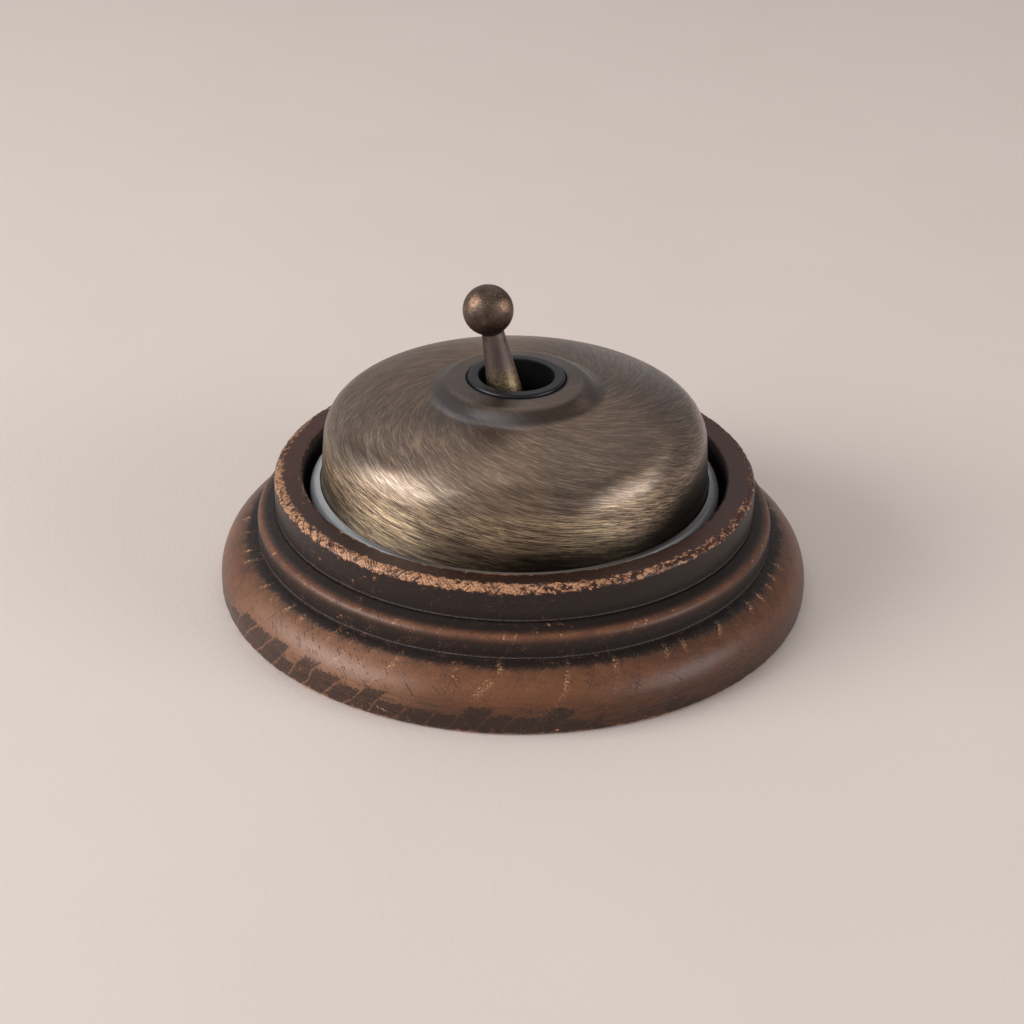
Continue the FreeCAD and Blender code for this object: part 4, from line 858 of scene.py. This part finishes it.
def wood_pattress(material):
    """The worn pattress with its cable opening and screw holes."""
    points, slope_end = wood_outline()
    ring_edge = [(RING_RADIUS - RING_EDGE_ROUND * (1 - math.cos(turn)),
                  RING_TOP - RING_EDGE_ROUND * (1 - math.sin(turn)), 0.55, 0.95)
                 for turn in (0.55, 0.90, 1.25, 1.57)]
    ring_edge += [(RECESS_RADIUS + 0.3, RING_TOP - 0.2, 0.45, 0.66),
                  (BASE_RADIUS - 0.25, 0.25, 0.5, 0.75)]

    def press(radius, height, angle):
        """Chips along the edges and the slight unevenness of old wood."""
        if radius < RECESS_RADIUS - 0.1 or height < 0.1:
            return 0
        spot = Vector((radius * math.cos(angle), radius * math.sin(angle), height))
        edge = nearness(ring_edge, radius, height)
        chip = max(noise.noise(spot * 1.1) * 0.6 + noise.noise(spot * 0.45) * 0.6, 0)
        ripple = RIPPLE_DEPTH * (1 + noise.noise(spot * 0.2))
        return ripple + edge * chip * CHIP_DEPTH

    thing = lathe("worn_pattress", points, WOOD_AROUND, press=press)
    worn_and_shaded_places = {
        "edge": ring_edge,
        "bead": [(STEP_RADIUS - 0.45, STEP_ARC_START + 0.95, 1.05, 1.0)],
        # painted shade: the broad darkening round the corner under the step
        "shade": [(STEP_RADIUS + 0.2, SHOULDER_TOP, 3.6, 0.9)],
        "chains": [(STEP_RADIUS + 3.6, SHOULDER_TOP - 1.8, 3.2, 0.85)],
        "under": [(STEP_RADIUS + 2.3, SHOULDER_TOP - 0.55, 1.0, 1.0)],
        "dirt": [(STEP_RADIUS + 0.2, SHOULDER_TOP, 1.9, 1.0),
                 (RING_RADIUS + 0.3, slope_end + 0.1, 1.5, 0.9),
                 (RECESS_RADIUS, FLOOR_HEIGHT + 4, 6.0, 1.0)],
        "dust": [(STEP_RADIUS - 0.1, SHOULDER_TOP + GROOVE_WIDTH, 0.17, 1.0),
                 (RING_RADIUS - 0.1, slope_end + GROOVE_WIDTH, 0.17, 0.9)],
    }
    for name, places in worn_and_shaded_places.items():
        store_nearness(thing, name, places)
    low = [vertex.co.z / MM for vertex in thing.data.vertices]
    far = [math.hypot(vertex.co.x, vertex.co.y) / MM for vertex in thing.data.vertices]
    store(thing.data, "shoulder", [1.0 if z < SHOULDER_TOP + 0.05 and r > STEP_RADIUS - 0.1 else 0.0
                                   for r, z in zip(far, low)])
    store(thing.data, "nicks", [0.7 if z < STEP_ARC_START + 2 and r > STEP_RADIUS - 1 else 0.2
                                for r, z in zip(far, low)])
    store(thing.data, "land", [min(max((z - RING_TOP + 0.9) / 0.6, 0), 1) if r < RING_RADIUS else 0.0
                               for r, z in zip(far, low)])

    tools = []
    for side in (-1, 1):
        tools.append(hole_tool(f"wall_hole_{side}", WALL_HOLE_RADIUS, -1, FLOOR_HEIGHT + 1,
                               side * WALL_HOLE_OFFSET, 0, (WALL_SINK_RADIUS, FLOOR_HEIGHT)))
        tools.append(hole_tool(f"pilot_{side}", PILOT_RADIUS, PILOT_FLOOR, FLOOR_HEIGHT + 1,
                               0, side * PILOT_OFFSET))
    cut_out(thing, tools)
    place_piece(thing, "base", "wood_pattress", material)


def dome_cover(material):
    """The spun dome: side, haunch, crown and boss, with its wall inside."""
    lean = Vector((math.cos(DOME_LEAN), math.sin(DOME_LEAN)))
    side_top = Vector((DOME_RADIUS - DOME_SIDE_HEIGHT * math.tan(DOME_LEAN), DOME_FOOT + DOME_SIDE_HEIGHT))
    haunch = side_top - HAUNCH_RADIUS * lean
    end = Vector((math.cos(HAUNCH_END), math.sin(HAUNCH_END)))
    crown = haunch - (CROWN_RADIUS - HAUNCH_RADIUS) * end
    boss_foot = crown.y + math.sqrt(CROWN_RADIUS ** 2 - (BOSS_RADIUS - crown.x) ** 2)
    inner_crown = CROWN_RADIUS - DOME_WALL
    inner_foot = crown.y + math.sqrt(inner_crown ** 2 - (BOSS_RADIUS - crown.x) ** 2)
    flank_top = boss_foot + BOSS_FLANK_RISE
    crest_top = flank_top + BOSS_CREST_RISE
    flank = math.atan(BOSS_FLANK_RISE / BOSS_FLANK_RUN)
    run_in = BOSS_FOOT_FILLET * math.tan(flank / 2)
    crest_radius = BOSS_RADIUS - BOSS_FLANK_RUN
    lip_radius = crest_radius - BOSS_CREST_RUN
    lip_height = DOME_HOLE_HEIGHT - DOME_LIP_DROP
    inner_haunch = HAUNCH_RADIUS - DOME_WALL
    corners = [
        (DOME_RADIUS - DOME_FOOT_ROUND, DOME_FOOT, 0.1, DOME_FOOT_ROUND, 1),
        (DOME_RADIUS, DOME_FOOT + DOME_FOOT_ROUND, 0.6),
        (*(haunch + lean * HAUNCH_RADIUS), FINE, HAUNCH_RADIUS, 1),
        (*(haunch + end * HAUNCH_RADIUS), FINE, CROWN_RADIUS, 1),
        (BOSS_RADIUS + run_in, boss_foot, 0.15, BOSS_FOOT_FILLET, -1),
        (BOSS_RADIUS - run_in * math.cos(flank), boss_foot + run_in * math.sin(flank), FINE),
        (crest_radius, flank_top, 0.15, BOSS_CREST_RADIUS, 1),
        (lip_radius, crest_top, FINE),
        (DOME_HOLE_RADIUS + DOME_LIP_ROUND, lip_height, 0.05, DOME_LIP_ROUND, 1),
        (DOME_HOLE_RADIUS, lip_height - DOME_LIP_ROUND, 0.3),
        (DOME_HOLE_RADIUS, DOME_HOLE_HEIGHT - DOME_WALL, 1.0),
        (lip_radius, crest_top - DOME_WALL, 1.0),
        (crest_radius - DOME_WALL * math.sin(flank), flank_top - DOME_WALL * math.cos(flank), 1.0),
        (BOSS_RADIUS, inner_foot, 1.0, inner_crown, -1),
        (*(haunch + end * inner_haunch), 1.0, inner_haunch, -1),
        (*(haunch + lean * inner_haunch), 2.0),
        (DOME_RADIUS - DOME_WALL, DOME_FOOT, 0.3),
    ]
    thing = lathe("brushed_dome", outline(corners), DOME_AROUND)
    place_piece(thing, "base", "dome_cover", material)


def collar_bush(material):
    """The black bush round the lever, with a fine thread below its lip."""
    top, bottom = BUSH_HIGH.z, BUSH_LOW.z
    flange_foot = BRIDGE_HIGH.z
    thread_top = top - THREAD_BELOW_LIP
    thread_foot = flange_foot + BUSH_FLANGE_HEIGHT + THREAD_ABOVE_FLANGE
    corners = [
        (BUSH_BORE_RADIUS, bottom, 1.0),
        (BUSH_SHANK_RADIUS, bottom, 1.0),
        (BUSH_SHANK_RADIUS, flange_foot, 0.5),
        (BUSH_FLANGE_RADIUS, flange_foot, 0.5),
        (BUSH_FLANGE_RADIUS, flange_foot + BUSH_FLANGE_HEIGHT, 0.5),
        (BUSH_THREAD_RADIUS, flange_foot + BUSH_FLANGE_HEIGHT, 0.5),
    ]
    for turn in range(int((thread_top - thread_foot) / THREAD_PITCH)):
        foot = thread_foot + turn * THREAD_PITCH
        corners += [(BUSH_THREAD_RADIUS, foot, 0.3),
                    (BUSH_THREAD_RADIUS - THREAD_DEPTH, foot + 0.35 * THREAD_PITCH, 0.3),
                    (BUSH_THREAD_RADIUS, foot + 0.7 * THREAD_PITCH, 0.3)]
    corners += [
        (BUSH_THREAD_RADIUS, thread_top, 0.5),
        (BUSH_THREAD_RADIUS, top - BUSH_OUTER_ROUND, 0.06, BUSH_OUTER_ROUND, 1),
        (BUSH_THREAD_RADIUS - BUSH_OUTER_ROUND, top, 0.2),
        (BUSH_BORE_RADIUS + BUSH_BORE_ROUND, top, 0.06, BUSH_BORE_ROUND, 1),
        (BUSH_BORE_RADIUS, top - BUSH_BORE_ROUND, 0.8),
    ]
    thing = lathe("lipped_bush", outline(corners), BUSH_AROUND)
    place_piece(thing, "base", "collar_bush", material)


def lever(material):
    """Ball, stem and hollow tail turned in one, and the barrel's two halves."""
    neck = BALL_DISTANCE - math.sqrt(BALL_RADIUS ** 2 - STEM_TOP_RADIUS ** 2)
    corners = [
        (0, BORE_TOP + BORE_RADIUS / 2, 0.5),
        (BORE_RADIUS, BORE_TOP, 1.0),
        (BORE_RADIUS, -TAIL_LENGTH, 0.5),
        (TAIL_RADIUS - END_ROUND, -TAIL_LENGTH, 0.1, END_ROUND, 1),
        (TAIL_RADIUS, -TAIL_LENGTH + END_ROUND, 0.5),
        (TAIL_RADIUS, 0, 0.5),
        (STEM_ROOT_RADIUS, STEM_ROOT_HEIGHT, 0.4),
        (STEM_TOP_RADIUS, neck - NECK_FILLET, 0.1, NECK_FILLET, -1),
        (STEM_TOP_RADIUS + NECK_RUN, neck + NECK_RISE, 0.12, BALL_RADIUS, 1),
        (BALL_RADIUS, BALL_DISTANCE, 0.15, BALL_RADIUS, 1),
        (0, BALL_DISTANCE + BALL_RADIUS, 0.2),
    ]

    def press(radius, height, angle):
        """The slight unevenness of a cast and rubbed lever."""
        spot = Vector((radius * math.cos(angle), radius * math.sin(angle), height))
        return CAST_DEPTH * (1 + noise.noise(spot * 0.8)) if height > STEM_ROOT_HEIGHT else 0

    thing = lathe("worn_lever", outline(corners, closed=False), LEVER_AROUND, closed=False, press=press)
    heights = [vertex.co.z / MM for vertex in thing.data.vertices]
    store(thing.data, "ball", [min(max((height - neck) / 0.8 + 0.5, 0), 1) for height in heights])
    store(thing.data, "rubbed", [
        math.exp(-((height - RUBBED_HEIGHT) / RUBBED_REACH) ** 2) for height in heights])
    thing.data.transform(LEVER_PLACE)
    centre = LEVER_PLACE @ Vector((0, 0, BALL_DISTANCE * MM))
    # directions of the ball's gold patches, facing the two lamps' highlights
    rubbed_and_highlit_directions = (Vector((-0.56, -0.60, 0.56)), Vector((0.72, -0.55, 0.42)))
    store(thing.data, "rubbed_and_highlit", [
        max(max((vertex.co - centre).normalized().dot(finger), 0) ** SPOT_FOCUS for finger in rubbed_and_highlit_directions)
        for vertex in thing.data.vertices])
    barrel = outline([(PIN_BORE_RADIUS, BARREL_INSIDE, 1.0), (BARREL_RADIUS, BARREL_INSIDE, 1.0),
                      (BARREL_RADIUS, BARREL_END - END_ROUND, 0.1, END_ROUND, 1),
                      (BARREL_RADIUS - END_ROUND, BARREL_END, 0.3), (PIN_BORE_RADIUS, BARREL_END, 1.0)])
    place_piece(thing, "lever", "lever", material)
    for side, name in ((1, "lever_barrel_back"), (-1, "lever_barrel_front")):
        half = lathe(name, barrel, BARREL_AROUND)
        half.data.transform(LEVER_PLACE @ Matrix.Rotation(side * -math.pi / 2, 4, "X"))
        half.data.materials.append(material)
        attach(half, "lever")


def plunger_spring(material):
    """The spring in the lever's bore: a round wire coiled between the ends of its CAD node."""
    node = frame["nodes"]["plunger_spring"]
    level = LEVER_PLACE.inverted() @ node.matrix_world
    heights = [(level @ vertex.co).z / MM for vertex in node.data.vertices]
    low, high = min(heights) + SPRING_WIRE_RADIUS, max(heights) - SPRING_WIRE_RADIUS
    steps, sides = SPRING_STEPS * SPRING_TURNS, SPRING_SIDES
    slope = Vector((0, SPRING_RADIUS * FULL_TURN * SPRING_TURNS, high - low)).normalized()
    points = []
    for step in range(steps + 1):
        turn = Matrix.Rotation(FULL_TURN * SPRING_TURNS * step / steps, 3, "Z")
        out = turn @ Vector((1, 0, 0))
        up = out.cross(turn @ slope)
        middle = out * SPRING_RADIUS + Vector((0, 0, low + (high - low) * step / steps))
        for side in range(sides):
            angle = FULL_TURN * side / sides
            wire = out * math.cos(angle) + up * math.sin(angle)
            points.append((middle + wire * SPRING_WIRE_RADIUS) * MM)
    faces = [(step * sides + side, step * sides + (side + 1) % sides,
              (step + 1) * sides + (side + 1) % sides, (step + 1) * sides + side)
             for step in range(steps) for side in range(sides)]
    faces += [tuple(range(sides))[::-1], tuple(range(steps * sides, (steps + 1) * sides))]
    mesh = bpy.data.meshes.new("coiled_spring")
    mesh.from_pydata(points, [], faces)
    mesh.shade_smooth()
    weld(mesh)
    mesh.transform(LEVER_PLACE)
    thing = bpy.data.objects.new("coiled_spring", mesh)
    bpy.context.scene.collection.objects.link(thing)
    place_piece(thing, "lever", "plunger_spring", material)
    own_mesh(thing)


def dress_nodes(materials):
    """Give each CAD node that keeps its shape the material of its slot."""
    for entry in frame["record"]["subparts"]:
        thing = frame["nodes"][entry["node"]]
        thing.data.materials.clear()
        thing.data.materials.append(materials[entry["material_slot"]])


# ---------------------------------------------------------------- scene round the object
def studio():
    """A plain pale floor, a pale surround and three soft lights."""
    paint = Paint("pale_floor")
    cloud = paint.noise(paint.place, 0.02, 3)
    grain = paint.noise(paint.place, 1.2, 3)
    colour = paint.blend(cloud, (222, 208, 199), (228, 215, 206))
    bpy.ops.mesh.primitive_plane_add(size=6, location=(0, 0, -0.00002))
    floor = bpy.context.object
    floor.name = "floor"
    floor.data.materials.append(paint.finish(colour, 0.85, paint.bump(grain, 0.05)))

    world = bpy.data.worlds.new("studio")
    bpy.context.scene.world = world
    world.use_nodes = True
    nodes, links = world.node_tree.nodes, world.node_tree.links
    nodes["Background"].inputs["Color"].default_value = (0.91, 0.90, 0.91, 1)
    heading = nodes.new("ShaderNodeSeparateXYZ")
    links.new(nodes.new("ShaderNodeTexCoord").outputs["Generated"], heading.inputs[0])
    level = nodes.new("ShaderNodeMath")
    level.operation = "MULTIPLY"
    for socket, axis, low, high, dim in ((0, 2, 0.40, 1.0, 1.0), (1, 0, -0.1, 0.8, 0.6)):
        fade = nodes.new("ShaderNodeMapRange")
        fade.interpolation_type = "SMOOTHSTEP"
        fade.inputs["From Min"].default_value = low
        fade.inputs["From Max"].default_value = high
        fade.inputs["To Min"].default_value = SURROUND
        fade.inputs["To Max"].default_value = SURROUND * dim
        links.new(heading.outputs[axis], fade.inputs["Value"])
        links.new(fade.outputs[0], level.inputs[socket])
    links.new(level.outputs[0], nodes["Background"].inputs["Strength"])

    soft_light("left_light", (-0.71, -0.24, 0.40), 0.66, 0.36, 5.9, (0.97, 0.98, 1.0))
    soft_light("right_light", (0.72, -0.29, 0.297), 0.50, 0.30, 2.4, (0.98, 0.98, 1.0))
    soft_light("back_light", (-0.05, 0.60, 0.85), 0.90, 0.60, 1.3, (1.0, 0.98, 0.96))


def soft_light(name, place, width, height, power, colour):
    """An oblong area light that looks at the object's middle."""
    light = bpy.data.lights.new(name, "AREA")
    light.shape = "RECTANGLE"
    light.size = width
    light.size_y = height
    light.energy = power
    light.color = colour
    lamp = bpy.data.objects.new(name, light)
    lamp.location = place
    lamp.rotation_euler = (-Vector(place)).to_track_quat("-Z", "Y").to_euler()
    bpy.context.scene.collection.objects.link(lamp)


def camera():
    """The camera that took the photograph, found from the object's circles."""
    data = bpy.data.cameras.new("camera")
    data.sensor_width = 36.0
    data.lens = CAMERA_LENS
    data.clip_start = 0.01
    view = bpy.data.objects.new("camera", data)
    place = Matrix.Translation((0, -CAMERA_BACK * MM, CAMERA_HEIGHT * MM))
    heading = Matrix.Rotation(math.radians(CAMERA_HEADING), 4, "Z")
    pitch = Matrix.Rotation(math.radians(CAMERA_PITCH), 4, "X")
    roll = Matrix.Rotation(math.radians(CAMERA_ROLL), 4, "Z")
    view.matrix_world = place @ heading @ pitch @ roll
    bpy.context.scene.collection.objects.link(view)
    bpy.context.scene.camera = view


# ---------------------------------------------------------------- make it all
MATERIALS = {
    "stained_wood": stained_wood(),
    "porcelain": porcelain(),
    "aged_brass": aged_brass(),
    "aged_bronze": aged_bronze(),
    "black_bakelite": moulded("black_bakelite", (18, 18, 21), (30, 30, 35), 0.34,
                              BUSH_BORE_RADIUS + 0.02),
    "brown_bakelite": moulded("brown_bakelite", (58, 32, 22), (84, 48, 32), 0.40),
    "plain_brass": machined("plain_brass", (214, 182, 118), (140, 104, 58), 0.26, 0.6),
    "zinc_steel": machined("zinc_steel", (190, 192, 194), (126, 124, 118), 0.32, 0.5),
    "contact_silver": machined("contact_silver", (222, 222, 218), (120, 112, 100), 0.24, 0.4),
    "red_fibre": red_fibre(),
}
dress_nodes(MATERIALS)
wood_pattress(MATERIALS["stained_wood"])
dome_cover(MATERIALS["aged_brass"])
collar_bush(MATERIALS["black_bakelite"])
lever(MATERIALS["aged_bronze"])
plunger_spring(MATERIALS["zinc_steel"])
studio()
camera()
bpy.context.scene.view_settings.view_transform = "Standard"
